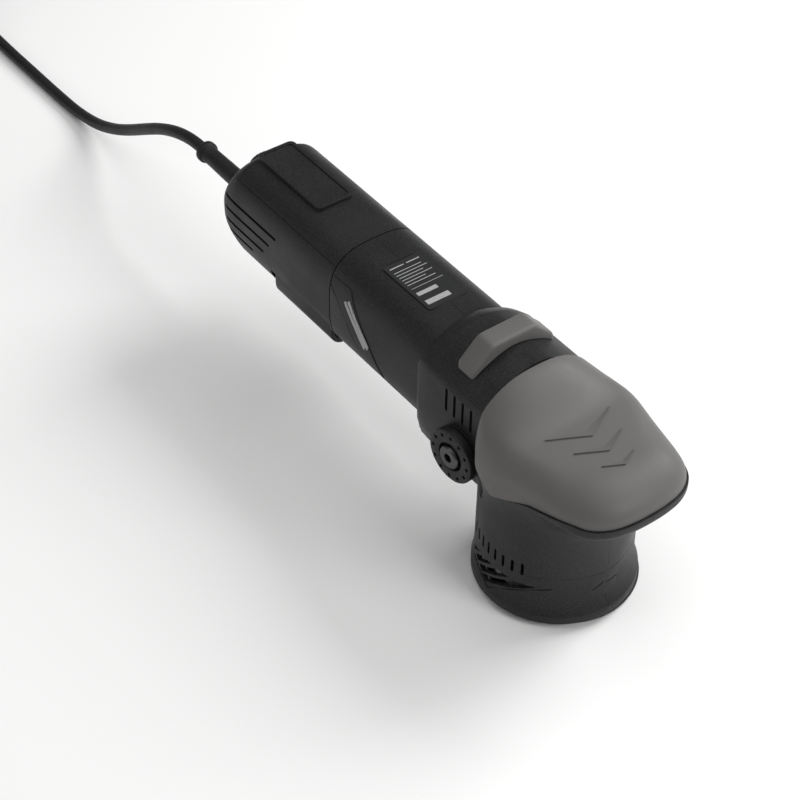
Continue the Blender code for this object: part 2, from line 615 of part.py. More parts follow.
# slanted air openings of the neck, as angle from the nose in degrees and height in millimetres
finOpenings = (((122.5, 18.2), (120.5, 15.8), (105.8, 23.7)),
               ((114.9, 16.7), (110.5, 14.9), (89.4, 25.4), (99.6, 24.4)),
               ((107.1, 15.0), (101.6, 13.4), (72.6, 25.6), (83.3, 25.4)),
               ((99.8, 12.7), (94.4, 11.1), (52.1, 25.4), (69.7, 24.8)))


def ringCentre(side):
    return (ringX, side * (collarHalfWidth + ringSeat), ringZ)


def ringTurn(side):
    return (side * -math.pi / 2, 0, -side * ringTilt)


def buildHeadShells():
    for side, name in ((-1, "head_shell_left"), (1, "head_shell_right")):
        shell = headBody(name)
        near, far = sorted((side * gap / 2, -side * 0.07))
        carve(shell, cutBlock("cut_" + name, (-0.09, near, -0.01), (0.08, far, 0.15)))
        for index in range(4):
            x = (-49.5 + 6.2 * index) * mm
            low, high = sorted((side * 25 * mm, side * 45 * mm))
            carve(shell, cutBlock(f"cut_{name}_vent_{index}", (x - 0.9 * mm, low, 86 * mm),
                                  (x + 0.9 * mm, high, 100 * mm)))
        slotNear, slotFar = sorted((0, side * 2.6 * mm))
        carve(shell, cutBlock(f"cut_{name}_lock", (sliderX - 2.5 * mm, slotNear, 0.108),
                              (sliderX + sliderTravel + 2.5 * mm, slotFar, 0.125)))
        for index in range(8):
            angle, z = side * (118.5 - 7.93 * index), 32.6 + 0.32 * index
            corners = [(angle - 1.2, z - 3.8), (angle + 1.2, z - 3.8), (angle + 1.2, z + 3.8),
                       (angle - 1.2, z + 3.8)]
            carve(shell, wrapCut(f"cut_{name}_slit_{index}", corners))
        for index, fin in enumerate(finOpenings):
            corners = [(side * angle, z) for angle, z in fin]
            carve(shell, wrapCut(f"cut_{name}_fin_{index}", corners))


def smooth(value, low, high):
    share = min(max((value - low) / (high - low), 0), 1)
    return share * share * (3 - 2 * share)


def coverTop(x, y):
    # level over the nose, rising behind it to meet the collar's roof
    level = 104.0 - 0.0012 * y * y
    roof = 116.7 - 14.2 * (abs(y) / 32.5) ** 2.6
    return level + (roof - level) * (1 - smooth(x, -24, 8))


def coverRings(inset):
    outline = noseOutline()
    rings = []
    thickness = inset / mm
    for share in (0, 0.012, 0.05, 0.11, 0.19, 0.29, 0.42, 0.62, 0.85):
        ring = []
        for x, y in outline:
            spineX = min(max(x, -36), 22)
            reach = math.hypot(x - spineX, y)
            depth = max(0, share * reach)
            px = x + (spineX - x) * (thickness + depth) / reach
            py = y - y * (thickness + depth) / reach
            roll = 6 + 6 * smooth(x, -20, 6) + 9 * smooth(x, 10, 48)
            fall = 8 + 5 * smooth(x, -20, 6) + 1.5 * smooth(x, 10, 48)
            edge = max(0, 1 - depth / roll)
            z = coverTop(px, py) - fall * (1 - math.sqrt(1 - edge * edge)) - thickness
            ring.append((px * mm, py * mm, z * mm))
        rings.append(ring)
    base = [(x, y, 60 * mm) for x, y, z in rings[0]]
    return [base] + rings


def buildPalmCover():
    cover = loft("palm_cover", greyRubber, coverRings(0))
    carve(cover, loft("cut_cover_hollow", None, coverRings(3.0 * mm)))
    carve(cover, prism("cut_cover_trim", None, partingOutline(0), "Y", -0.06, 0.06), 'INTERSECT')


def buildSideRings():
    top = gap + ringThickness
    for side, name in ((-1, "left"), (1, "right")):
        centre, rotation = ringCentre(side), ringTurn(side)
        ring = turned(f"side_ring_{name}", blackPlastic,
                      [(0, gap), (ringRadius - 0.6 * mm, gap), (ringRadius, gap + mm), (ringRadius, top - 0.6 * mm),
                       (ringRadius - 0.6 * mm, top), (7.6 * mm, top), (7.6 * mm, gap + 2 * mm), (0, gap + 2 * mm)],
                      centre, rotation, 36)
        for index in range(ringHoles):
            angle = 2 * math.pi * index / ringHoles
            along = ringHoleCircle * math.cos(angle)
            spot = (centre[0] + along * math.cos(ringTilt), centre[1] - side * along * math.sin(ringTilt),
                    centre[2] + ringHoleCircle * math.sin(angle))
            carve(ring, turned(f"cut_ring_{name}_{index}", None, rod(0.95 * mm, gap + 3 * mm, top + mm),
                               spot, rotation, 8))
        floor = 2 * gap + 2 * mm
        screw = turned(f"side_screw_{name}", darkSteel,
                       [(0, floor), (6.2 * mm, floor), (6.2 * mm, floor + 3.2 * mm), (5.4 * mm, floor + 4 * mm),
                        (0, floor + 4 * mm)], centre, rotation)
        carve(screw, turned(f"cut_socket_{name}", None, rod(2.6 * mm, floor + 1.2 * mm, floor + 5 * mm), centre,
                            rotation, 6))


def collarSurface(y):
    roof = [(abs(point[1]), point[2]) for point in collarRing(0, collarHalfWidth, collarTop, collarBottom)[:8]]
    for (inner, high), (outer, low) in zip(roof, roof[1:]):
        if abs(y) <= outer:
            return high + (low - high) * max(0, (abs(y) - inner) / (outer - inner))
    return roof[-1][1]


def buildLockSlider():
    half = 24.5 * mm
    outline = [(half, collarSurface(half) + 4.2 * mm), (13 * mm, sliderTop), (-13 * mm, sliderTop),
               (-half, collarSurface(half) + 4.2 * mm)]
    roof = [point[1] for point in collarRing(0, collarHalfWidth, collarTop, collarBottom)[:8] if point[1] < half]
    for y in [-half] + [-y for y in reversed(roof)] + roof + [half]:
        outline.append((y, collarSurface(y) + 0.4 * mm))
    prism("lock_slider", greyRubber, outline, "X", sliderX - sliderLength / 2, sliderX + sliderLength / 2)
    turned("lock_pin", steel, rod(2 * mm, 104 * mm, collarTop + 0.2 * mm), (sliderX, 0, 0), steps=16)


# ---- mains lead ----------------------------------------------------------------------------------
leadPoints = ((-312.3, 0, 67.7), (-326, 0, 66.6), (-342, 0, 62.2), (-360, 0, 54.0), (-380, 0.5, 42.0),
              (-400, 1, 29.5), (-420, 1.2, 18.5), (-442, 1.2, 9.6), (-466, 1.0, 4.7), (-492, 0.6, 3.6),
              (-520, 0.2, 3.6), (-555, -0.2, 3.6), (coilX / mm + 29.5, 0.3, 3.6))
tailStart = (coilX / mm - 43.0, coilY / mm - 27.2, 32.4)
tailEnd = (coilX / mm - 20.0, coilY / mm - 38.0, 35.4)
tailPoints = (tailStart, (tailStart[0] + 6.8, tailStart[1] - 5.8, 34.0),
              (tailEnd[0] - 7.6, tailEnd[1] + 0.3, 35.3), tailEnd)


def smoothRoute(points, spacing):
    # Catmull-Rom curve through the route's points, read off at an even spacing
    route = [Vector(point) * mm for point in points]
    padded = [2 * route[0] - route[1]] + route + [2 * route[-1] - route[-2]]
    result = [route[0]]
    for before, start, end, after in zip(padded, padded[1:], padded[2:], padded[3:]):
        pieces = max(1, round((end - start).length / spacing))
        for step in range(1, pieces + 1):
            t = step / pieces
            result.append(0.5 * ((2 * start) + (end - before) * t
                                 + (2 * before - 5 * start + 4 * end - after) * t * t
                                 + (3 * start - before - 3 * end + after) * t ** 3))
    return result


def cordTube(name, points):
    route = smoothRoute(points, 2.4 * 2 * cordRadius)
    curve = bpy.data.curves.new(name, 'CURVE')
    curve.dimensions = '3D'
    curve.bevel_depth = cordRadius
    curve.bevel_resolution = 2
    curve.use_fill_caps = True
    spline = curve.splines.new('POLY')
    spline.points.add(len(route) - 1)
    for point, spot in zip(spline.points, route):
        point.co = (*spot, 1)
    curve.materials.append(blackRubber)
    piece = bpy.data.objects.new(name, curve)
    piece.parent = toolFrame
    bpy.context.collection.objects.link(piece)


def buildLead():
    cordTube("cord_lead", leadPoints)
    cordTube("cord_tail", tailPoints)
    diameter = 2 * cordRadius
    inner = coilInnerTurn - cordRadius
    outer = inner + coilTurnsAcross * diameter
    high = coilTurnsHigh * diameter
    soft = 3 * mm
    profile = [(inner, soft), (inner + soft, 0), (outer - soft, 0), (outer, soft), (outer, high - soft),
               (outer - soft, high), (inner + soft, high), (inner, high - soft)]
    turned("cord_coil", blackRubber, profile, (coilX, coilY, 0), steps=32)
    x, y, z = (value * mm for value in tailPoints[-1])
    outline = [(0, 0), (4.6, 0), (5.4, 12), (6.4, 18), (7.0, 22), (7.0, 36), (0, 36)]
    grip = turned("plug_body", blackRubber, [(radius * mm, length * mm) for radius, length in outline],
                  (x + gap, y, z), alongX)
    wings = block("cut_plug_wings", None, (18 * mm, -11 * mm, -6.0 * mm), (40 * mm, 11 * mm, 6.0 * mm), 2 * mm,
                  (x, y, z))
    carve(grip, wings, 'UNION')
    for side, name in ((-1, "a"), (1, "b")):
        pin = [(0, 40.4), (2.4, 40.4), (2.4, 57.5), (1.6, 59), (0, 59)]
        turned(f"plug_pin_{name}", brass, [(radius * mm, length * mm) for radius, length in pin],
               (x, y + side * 9.5 * mm * 0.9, z), alongX, 16)


buildHandleLower()
buildHandleUpper()
buildStrainRelief()
buildSpeedDial()
buildPaddle()
buildMotor()
buildMotorHousing()
buildBevelPair()
buildGearCase()
buildSpindle()
buildPlate()
buildHeadShells()
buildPalmCover()
buildSideRings()
buildLockSlider()
buildLead()
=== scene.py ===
import json
import math
import bpy
import bmesh
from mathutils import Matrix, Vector


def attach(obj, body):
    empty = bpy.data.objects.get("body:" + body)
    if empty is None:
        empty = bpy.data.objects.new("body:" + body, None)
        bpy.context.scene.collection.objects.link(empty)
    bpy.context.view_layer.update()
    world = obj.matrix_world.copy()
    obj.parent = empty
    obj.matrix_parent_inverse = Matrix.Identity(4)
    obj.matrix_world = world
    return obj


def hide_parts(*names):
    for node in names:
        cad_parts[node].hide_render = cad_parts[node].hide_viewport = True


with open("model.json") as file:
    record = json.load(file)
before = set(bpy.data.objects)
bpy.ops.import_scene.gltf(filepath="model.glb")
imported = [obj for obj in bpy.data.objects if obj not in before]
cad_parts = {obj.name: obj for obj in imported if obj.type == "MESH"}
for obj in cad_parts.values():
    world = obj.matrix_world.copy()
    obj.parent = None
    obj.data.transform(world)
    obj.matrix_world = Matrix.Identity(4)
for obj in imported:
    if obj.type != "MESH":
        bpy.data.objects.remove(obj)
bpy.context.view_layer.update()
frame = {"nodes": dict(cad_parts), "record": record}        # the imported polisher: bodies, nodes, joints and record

mm = 0.001
joints = {joint["name"]: joint for joint in frame["record"]["behaviour"]["joints"]}
spindleX = joints["spindle_spin"]["pos_m"][0]      # pieces are placed in millimetres from the spindle's axis


def at(x, y, z):
    return Vector((spindleX + x * mm, y * mm, z * mm))


def aimAt(item, place, target, roll=0.0):
    forward = (Vector(target) - Vector(place)).normalized()
    item.location = place
    item.rotation_euler = forward.to_track_quat('-Z', 'Y').to_matrix().to_euler()
    item.rotation_euler.rotate_axis('Z', roll)


# camera, floor and lights, in metres and watts
studio = {"place": (0.6226, -0.4740, 0.7518), "aim": (0.0013, -0.0024, 0.0198), "roll": math.radians(0.92),
          "lens": 92.2, "sensor": 36, "nearClip": 0.01,
          "floor": (0.95, 0.95, 0.945), "floorSize": 9, "world": 0.20, "lightAim": (0.02, 0, 0.05),
          "lights": {"backSoftbox": ((0.15, 1.15, 1.05), 0.8, 17),      # place, size across, power
                     "rightSoftbox": ((1.25, 0.35, 0.85), 0.6, 7.5),
                     "topSoftbox": ((-0.2, -0.1, 2.2), 2.4, 17),
                     "nearFill": ((-0.35, -1.2, 0.7), 0.8, 2.2)}}


def makeStudio():
    bpy.ops.object.select_all(action='DESELECT')
    bpy.ops.object.camera_add()
    camera = bpy.context.object
    camera.name = "studioCamera"
    camera.data.lens = studio["lens"]
    camera.data.sensor_width = studio["sensor"]
    camera.data.clip_start = studio["nearClip"]
    aimAt(camera, studio["place"], studio["aim"], studio["roll"])
    bpy.context.scene.camera = camera
    bpy.ops.mesh.primitive_plane_add(size=studio["floorSize"], location=(0, 0, 0))
    floor = bpy.context.object
    floor.name = "studioFloor"
    for name, (place, size, power) in studio["lights"].items():
        bpy.ops.object.light_add(type='AREA')
        light = bpy.context.object
        light.name = name
        light.data.size = size
        light.data.energy = power
        aimAt(light, place, studio["lightAim"])
    world = bpy.data.worlds.new("softRoom")
    bpy.context.scene.world = world
    world.use_nodes = True
    background = world.node_tree.nodes["Background"]
    background.inputs["Color"].default_value = (1, 1, 1, 1)
    background.inputs["Strength"].default_value = studio["world"]
    bpy.context.scene.view_settings.view_transform = 'Standard'
    return floor


studioFloor = makeStudio()
print("studio ready")


# an expression on wires adds its Math nodes
class Wire:
    def __init__(self, shader, socket):
        self.shader = shader
        self.socket = socket

    def maths(self, operation, other, turned=False):
        node = self.shader.tree.nodes.new("ShaderNodeMath")
        node.operation = operation
        pair = (other, self) if turned else (self, other)
        for index, value in enumerate(pair):
            self.shader.plug(node.inputs[index], value)
        return Wire(self.shader, node.outputs[0])

    def __add__(self, other):
        return self.maths('ADD', other)

    def __radd__(self, other):
        return self.maths('ADD', other, True)

    def __mul__(self, other):
        return self.maths('MULTIPLY', other)

    def __rmul__(self, other):
        return self.maths('MULTIPLY', other, True)


class Finish:
    def __init__(self, name, **constants):
        self.material = bpy.data.materials.new(name)
        self.material.use_nodes = True
        self.tree = self.material.node_tree
        self.surface = self.tree.nodes["Principled BSDF"]
        for socket, value in constants.items():
            self.surface.inputs[socket.replace("_", " ")].default_value = value

    def plug(self, socket, value):
        if isinstance(value, Wire):
            self.tree.links.new(value.socket, socket)
        else:
            socket.default_value = value

    def node(self, kind, output=0, setup=None, **inputs):
        node = self.tree.nodes.new("ShaderNode" + kind)
        for key, value in (setup or {}).items():
            setattr(node, key, value)
        for key, value in inputs.items():
            self.plug(node.inputs[key.replace("_", " ")], value)
        return Wire(self, node.outputs[output])

    def place(self, stretch=(1, 1, 1)):
        return self.node("Mapping", Vector=self.node("TexCoord", "Object"), Scale=stretch)

    def grain(self, scale, detail=2.0, rough=0.5, stretch=(1, 1, 1)):
        return self.node("TexNoise", "Fac", Vector=self.place(stretch), Scale=scale, Detail=detail,
                         Roughness=rough)

    def between(self, amount, low, high):
        return self.node("Mix", "Result", {"data_type": 'RGBA'}, Factor=amount, A=(*low, 1), B=(*high, 1))

    def stretchRange(self, value, low, high, toLow, toHigh):
        return self.node("MapRange", Value=value, From_Min=low, From_Max=high, To_Min=toLow, To_Max=toHigh)

    def close(self, mix, dark, light, rough, relief):
        # rough: a value, its range and the range it becomes; relief: a height, its strength and depth
        self.plug(self.surface.inputs["Base Color"], self.between(mix, dark, light))
        self.plug(self.surface.inputs["Roughness"], self.stretchRange(*rough))
        height, strength, depth = relief
        self.plug(self.surface.inputs["Normal"],
                  self.node("Bump", "Normal", Strength=strength, Distance=depth, Height=height))
        return self.material


def mouldedPlastic(name, dark, light, rough=(0.36, 0.54), pebble=1250, bumpSize=0.00012, strength=0.7):
    finish = Finish(name, Specular_IOR_Level=0.24)
    fine = finish.grain(pebble, 3.0, 0.6)
    broad = finish.grain(38, 3.0, 0.55)
    speck = finish.stretchRange(fine, 0.35, 0.68, 0.0, 1.0)
    return finish.close(speck * 0.75 + broad * 0.25, dark, light,
                        (broad + fine * 0.4, 0.45, 0.95, *rough), (fine, strength, bumpSize))


def softTouch(name, dark, light):
    finish = Finish(name, Specular_IOR_Level=0.34, Sheen_Weight=0.1, Sheen_Roughness=0.45)
    fine = finish.grain(3400, 2.0, 0.6)
    broad = finish.grain(26, 3.0, 0.6)
    marks = finish.grain(240, 4.0, 0.65, (1, 3, 1))
    return finish.close(broad * 0.6 + fine * 0.4, dark, light,
                        (broad * 0.5 + marks * 0.5, 0.3, 0.7, 0.46, 0.6),
                        (fine * 0.8 + marks * 0.2, 0.35, 0.00005))


def rubberSkin(name, dark, light, rough=(0.42, 0.62), scale=900):
    finish = Finish(name, Specular_IOR_Level=0.28)
    fine = finish.grain(scale, 3.0, 0.6)
    broad = finish.grain(60, 3.0, 0.6)
    return finish.close(broad * 0.7 + fine * 0.3, dark, light,
                        (fine * 0.5 + broad * 0.5, 0.3, 0.7, *rough), (fine, 0.4, 0.00008))


def turnedMetal(name, dark, light, rough=(0.22, 0.4)):
    finish = Finish(name, Metallic=1.0)
    lines = finish.grain(420, 4.0, 0.7, (1, 1, 14))      # fine rings left by the lathe
    broad = finish.grain(45, 3.0, 0.6)
    return finish.close(lines * 0.6 + broad * 0.4, dark, light,
                        (lines * 0.6 + broad * 0.4, 0.3, 0.7, *rough), (lines, 0.25, 0.00004))


def castMetal(name, dark, light):
    finish = Finish(name, Metallic=1.0)
    grit = finish.grain(1300, 4.0, 0.7)
    broad = finish.grain(70, 3.0, 0.6)
    return finish.close(grit * 0.5 + broad * 0.5, dark, light,
                        (grit, 0.3, 0.7, 0.38, 0.58), (grit, 0.5, 0.0001))


def woundWire(name, dark, light):
    finish = Finish(name, Metallic=1.0, Coat_Weight=0.4, Coat_Roughness=0.2)
    strands = finish.node("TexWave", "Fac", {"wave_type": 'BANDS', "bands_direction": 'X'},
                          Vector=finish.place(), Scale=420.0, Distortion=1.2, Detail=2.0)
    broad = finish.grain(160, 3.0, 0.6)
    return finish.close(strands * 0.6 + broad * 0.4, dark, light,
                        (broad, 0.3, 0.7, 0.25, 0.42), (strands, 0.7, 0.0003))


def hookPile(name, dark, light):
    finish = Finish(name, Sheen_Weight=0.35, Sheen_Roughness=0.5)
    dots = finish.node("TexVoronoi", "Distance", Vector=finish.place(), Scale=850.0)
    fuzz = finish.grain(1700, 3.0, 0.7)
    return finish.close(dots * 0.9 + fuzz * 0.3, dark, light,
                        (fuzz, 0.3, 0.7, 0.8, 0.97), (dots + fuzz * 0.4, 0.9, 0.0006))


def circuitBoard(name):
    finish = Finish(name, Coat_Weight=0.5, Coat_Roughness=0.15)
    tracks = finish.node("TexBrick", "Fac", Vector=finish.place(), Scale=90.0)
    broad = finish.grain(200, 2.0, 0.5)
    return finish.close(tracks * 0.8 + broad * 0.2, (0.012, 0.07, 0.025), (0.03, 0.16, 0.06),
                        (broad, 0.3, 0.7, 0.3, 0.45), (tracks, 0.4, 0.0001))


def studioPaper(name, colour):
    finish = Finish(name, Specular_IOR_Level=0.1)
    tooth = finish.grain(500, 2.0, 0.5)
    return finish.close(tooth, colour, [min(1, value * 1.015) for value in colour],
                        (tooth, 0.3, 0.7, 0.86, 0.94), (tooth, 0.05, 0.0002))


finishes = {
    "black_plastic": mouldedPlastic("blackNylon", (0.0055, 0.0056, 0.0059), (0.0265, 0.0269, 0.0278)),
    "grey_rubber": softTouch("greyOvermould", (0.096, 0.093, 0.090), (0.134, 0.130, 0.1255)),
    "black_rubber": rubberSkin("blackRubber", (0.0065, 0.0065, 0.0068), (0.0165, 0.0165, 0.017)),
    "steel": turnedMetal("groundSteel", (0.42, 0.42, 0.43), (0.62, 0.62, 0.63)),
    "dark_steel": turnedMetal("blackOxide", (0.05, 0.05, 0.053), (0.14, 0.14, 0.145), (0.28, 0.45)),
    "aluminium": castMetal("dieCast", (0.45, 0.45, 0.46), (0.66, 0.66, 0.67)),
    "copper": woundWire("enamelledCopper", (0.45, 0.17, 0.07), (0.78, 0.38, 0.2)),
    "brass": turnedMetal("plainBrass", (0.55, 0.4, 0.15), (0.8, 0.62, 0.3)),
    "carbon": rubberSkin("pressedCarbon", (0.02, 0.02, 0.021), (0.05, 0.05, 0.052), (0.5, 0.7), 2400),
    "board_green": circuitBoard("solderMask"),
    "label": mouldedPlastic("satinLabel", (0.020, 0.0205, 0.0215), (0.028, 0.0285, 0.0295), (0.3, 0.38), 1500,
                            0.00002, 0.15),
    "hook_fabric": hookPile("hookPile", (0.012, 0.012, 0.013), (0.05, 0.05, 0.052)),
}
printedMark = mouldedPlastic("printedMark", (0.30, 0.30, 0.30), (0.42, 0.42, 0.42), (0.4, 0.5), 1500,
                             0.00002, 0.1)


def dress(piece, finish):
    piece.data.materials.clear()
    piece.data.materials.append(finish)


dress(studioFloor, studioPaper("studioPaper", studio["floor"]))
for part in frame["record"]["subparts"]:
    if part["node"] in frame["nodes"]:
        dress(frame["nodes"][part["node"]], finishes[part["material_slot"]])
print("finishes ready")


def pick(*pieces):
    # only these pieces are selected, and the first is active
    bpy.ops.object.select_all(action='DESELECT')
    for piece in pieces:
        piece.select_set(True)
    if pieces:
        bpy.context.view_layer.objects.active = pieces[0]


def smooth(value, low, high):
    share = min(max((value - low) / (high - low), 0), 1)
    return share * share * (3 - 2 * share)


def power(value, exponent):
    return math.copysign(abs(value) ** exponent, value)


def named(name):
    piece = bpy.context.object
    piece.name = piece.data.name = name
    return piece


def settle(piece):
    pick(piece)
    bpy.ops.object.transform_apply(location=True, rotation=True, scale=True)


def startRing(name, count, fill):
    # a circle of loose size, open in edit mode, to be given its real shape
    pick()
    bpy.ops.mesh.primitive_circle_add(vertices=count, radius=0.01, location=(0, 0, 0), fill_type=fill)
    piece = named(name)
    bpy.ops.object.mode_set(mode='EDIT')
    return piece


def closeMesh(piece, triangles=False):
    bpy.ops.mesh.select_all(action='SELECT')
    bpy.ops.mesh.remove_doubles(threshold=0.000002)
    bpy.ops.mesh.delete_loose()
    bpy.ops.mesh.select_all(action='SELECT')
    bpy.ops.mesh.normals_make_consistent(inside=False)
    if triangles:
        bpy.ops.mesh.quads_convert_to_tris()
    bpy.ops.object.mode_set(mode='OBJECT')
    return piece


def solidSweep(name, rings):
    # a circle is shaped to the first ring, then extruded and shaped ring by ring
    piece = startRing(name, len(rings[0]), 'NGON')
    bpy.ops.mesh.select_all(action='SELECT')
    bpy.ops.mesh.select_mode(type='VERT')
    shape = bmesh.from_edit_mesh(piece.data)
    places = {}
    for index, corner in enumerate(shape.verts[:]):
        corner.co = rings[0][index]
        places[tuple(corner.co)] = index
    bmesh.update_edit_mesh(piece.data)
    for ring in rings[1:]:
        bpy.ops.mesh.extrude_region_move()
        shape = bmesh.from_edit_mesh(piece.data)
        following = {}
        for corner in shape.verts:
            if corner.select:
                index = places[tuple(corner.co)]
                corner.co = ring[index]
                following[tuple(corner.co)] = index
        places = following
        bmesh.update_edit_mesh(piece.data)
    return closeMesh(piece, triangles=True)


alongX, alongY = (0, math.pi / 2, 0), (-math.pi / 2, 0, 0)      # leans that lay the axis Z along X or Y


def turnPiece(name, profile, centre, lean=(0, 0, 0), steps=72):
    # radius and height pairs of a closed outline, spun about Z, then leaned and placed
    piece = startRing(name, len(profile), 'NOTHING')
    shape = bmesh.from_edit_mesh(piece.data)
    shape.verts.ensure_lookup_table()
    for corner, (radius, height) in zip(shape.verts[:], profile):
        corner.co = (radius * mm, 0, height * mm)
    for edge in shape.edges:      # an edge on the axis would be spun into nothing
        edge.select = all(abs(corner.co.x) < 1e-9 for corner in edge.verts)
    bmesh.update_edit_mesh(piece.data)
    bpy.ops.mesh.delete(type='EDGE')
    bpy.ops.mesh.select_all(action='SELECT')
    bpy.ops.mesh.spin(steps=steps, angle=2 * math.pi, center=(0, 0, 0), axis=(0, 0, 1))
    closeMesh(piece)
    piece.rotation_euler = lean
    piece.location = centre
    settle(piece)
    return piece


def boxPiece(name, low, high, turn=(0, 0, 0), about=None):
    pick()
    middle = [(a + b) / 2 for a, b in zip(low, high)]
    size = [b - a for a, b in zip(low, high)]
    bpy.ops.mesh.primitive_cube_add(size=1, location=at(*middle), scale=[side * mm for side in size])
    piece = named(name)
    settle(piece)
    if about:
        bpy.context.scene.cursor.location = at(*about)
        bpy.ops.object.origin_set(type='ORIGIN_CURSOR')
        piece.rotation_euler = turn
        settle(piece)
        bpy.context.scene.cursor.location = (0, 0, 0)
    return piece


def extrudePlan(name, outline, across, start, end):
    order = {"X": (2, 0, 1), "Y": (0, 2, 1), "Z": (0, 1, 2)}[across]
    rings = []
    for level in (start, end):
        ring = []
        for first, second in outline:
            values = (first, second, level)
            ring.append(at(*[values[index] for index in order]))
        rings.append(ring)
    return solidSweep(name, rings)


def applyModifiers(piece):
    pick(piece)
    for modifier in list(piece.modifiers):
        bpy.ops.object.modifier_apply(modifier=modifier.name)


def joined(pieces):
    pick(*pieces)
    if len(pieces) > 1:
        bpy.ops.object.join()
    return bpy.context.object


def combine(piece, others, operation='DIFFERENCE'):
    # the others are joined into one tool, used once and removed
    tool = joined(others)
    step = piece.modifiers.new("combine", 'BOOLEAN')
    step.operation = operation
    step.solver = 'MANIFOLD'
    step.object = tool
    applyModifiers(piece)
    bpy.data.objects.remove(tool, do_unlink=True)


def roundEdges(piece, width, segments, angle):
    step = piece.modifiers.new("round", 'BEVEL')
    step.width = width * mm
    step.segments = segments
    step.limit_method = 'ANGLE'
    step.angle_limit = math.radians(angle)
    applyModifiers(piece)


def finishPiece(piece, body, slotName, nodes=(), smoothAngle=32, finish=None):
    settle(piece)
    bpy.ops.object.shade_smooth_by_angle(angle=math.radians(smoothAngle))
    dress(piece, finish or finishes[slotName])
    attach(piece, body)
    if nodes:
        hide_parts(*nodes)
    return piece


def curveThrough(points, perSpan):
    # a smooth open curve through a list of points
    route = [Vector(point) for point in points]
    padded = [2 * route[0] - route[1]] + route + [2 * route[-1] - route[-2]]
    result = [route[0]]
    for before, start, end, after in zip(padded, padded[1:], padded[2:], padded[3:]):
        for step in range(1, perSpan + 1):
            t = step / perSpan
            result.append(0.5 * ((2 * start) + (end - before) * t
                                 + (2 * before - 5 * start + 4 * end - after) * t * t
                                 + (3 * start - before - 3 * end + after) * t ** 3))
    return result


# mains lead: the run from the sleeve along the floor, a coil of flat spirals and the tail to the plug
lead = {"radius": 3.5, "roundness": 5, "pointsPerSpan": 3, "start": (-312.3, 0, 67.7),
        "run": [(-326, 0, 66.6), (-342, 0, 62.2), (-360, 0, 54.0), (-380, 0.5, 42.0), (-400, 1, 29.5),
                (-420, 1.2, 18.5), (-442, 1.2, 9.6), (-466, 1.0, 4.7), (-492, 0.6, 3.6), (-520, 0.2, 3.6),
                (-555, -0.2, 3.6), (-595.5, 0.3, 3.6)],
        "coilCentre": (-625.0, -52.0), "inner": 31.0, "outer": 52.0, "firstTurn": 0.25,
        "layers": (3.6, 10.6, 17.6, 24.6), "turnsPerLayer": (3.0, 3.0, 3.0, 2.75), "climb": 0.5, "perTurn": 20,
        "tail": [(-676.6, -61.5, 26.6), (-673.6, -70.8, 29.6), (-668.0, -79.2, 32.4), (-661.2, -85.0, 34.0),
                 (-652.6, -89.7, 35.3), (-645, -90, 35.4)]}
plugSizes = {"stations": ((0.3, 4.6, 4.6), (5, 4.8, 4.8), (12, 5.6, 5.2), (17, 7.6, 5.7), (20, 10.2, 6.2),
                          (24, 11.0, 6.6), (34, 11.0, 6.6), (37.5, 10.6, 6.3), (39.5, 10.0, 5.8)),
             "around": 40, "squareness": 0.75, "grooves": 4, "firstGroove": 2.5, "grooveEvery": 2.8,
             "groove": [(4.2, 0), (9, 0), (9, 1.1), (4.2, 1.1)]}


def coilPoints():
    # four layers of flat spiral, in and out by turns, with a climb between them
    centreX, centreY = lead["coilCentre"]
    spots = []
    turn, radius = lead["firstTurn"], lead["outer"]
    for index, height in enumerate(lead["layers"]):
        target = lead["outer"] if index % 2 else lead["inner"]
        length = lead["turnsPerLayer"][index]
        count = round(length * lead["perTurn"])
        for step in range(count):
            share = step / count
            spots.append((turn + share * length, radius + (target - radius) * share, height))
        turn, radius = turn + length, target
        if index + 1 < len(lead["layers"]):
            rise = lead["layers"][index + 1] - height
            count = round(lead["climb"] * lead["perTurn"])
            for step in range(count):
                share = step / count
                spots.append((turn + share * lead["climb"], radius, height + rise * smooth(share, 0, 1)))
            turn += lead["climb"]
    spots.append((turn, radius, lead["layers"][-1]))
    return [(centreX + reach * math.cos(angle * 2 * math.pi),
             centreY + reach * math.sin(angle * 2 * math.pi), z)
            for angle, reach, z in spots]


def makeLead():
    route = curveThrough([lead["start"]] + lead["run"] + coilPoints() + lead["tail"], lead["pointsPerSpan"])
    pick()
    bpy.ops.curve.primitive_bezier_curve_add()
    cord = named("mainsLead")
    cord.location = (0, 0, 0)
    cord.data.splines.clear()
    spline = cord.data.splines.new('POLY')
    spline.points.add(len(route) - 1)
    length = 0
    for index, spot in enumerate(route):
        spline.points[index].co = (*at(*spot), 1)
        if index:
            length += (spot - route[index - 1]).length
    cord.data.dimensions = '3D'
    cord.data.bevel_depth = lead["radius"] * mm
    cord.data.bevel_resolution = lead["roundness"]
    cord.data.use_fill_caps = True
    spline.use_smooth = True
    cord.data.materials.append(finishes["black_rubber"])
    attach(cord, "housing")
    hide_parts("cord_lead", "cord_coil", "cord_tail")
    return cord, length * mm


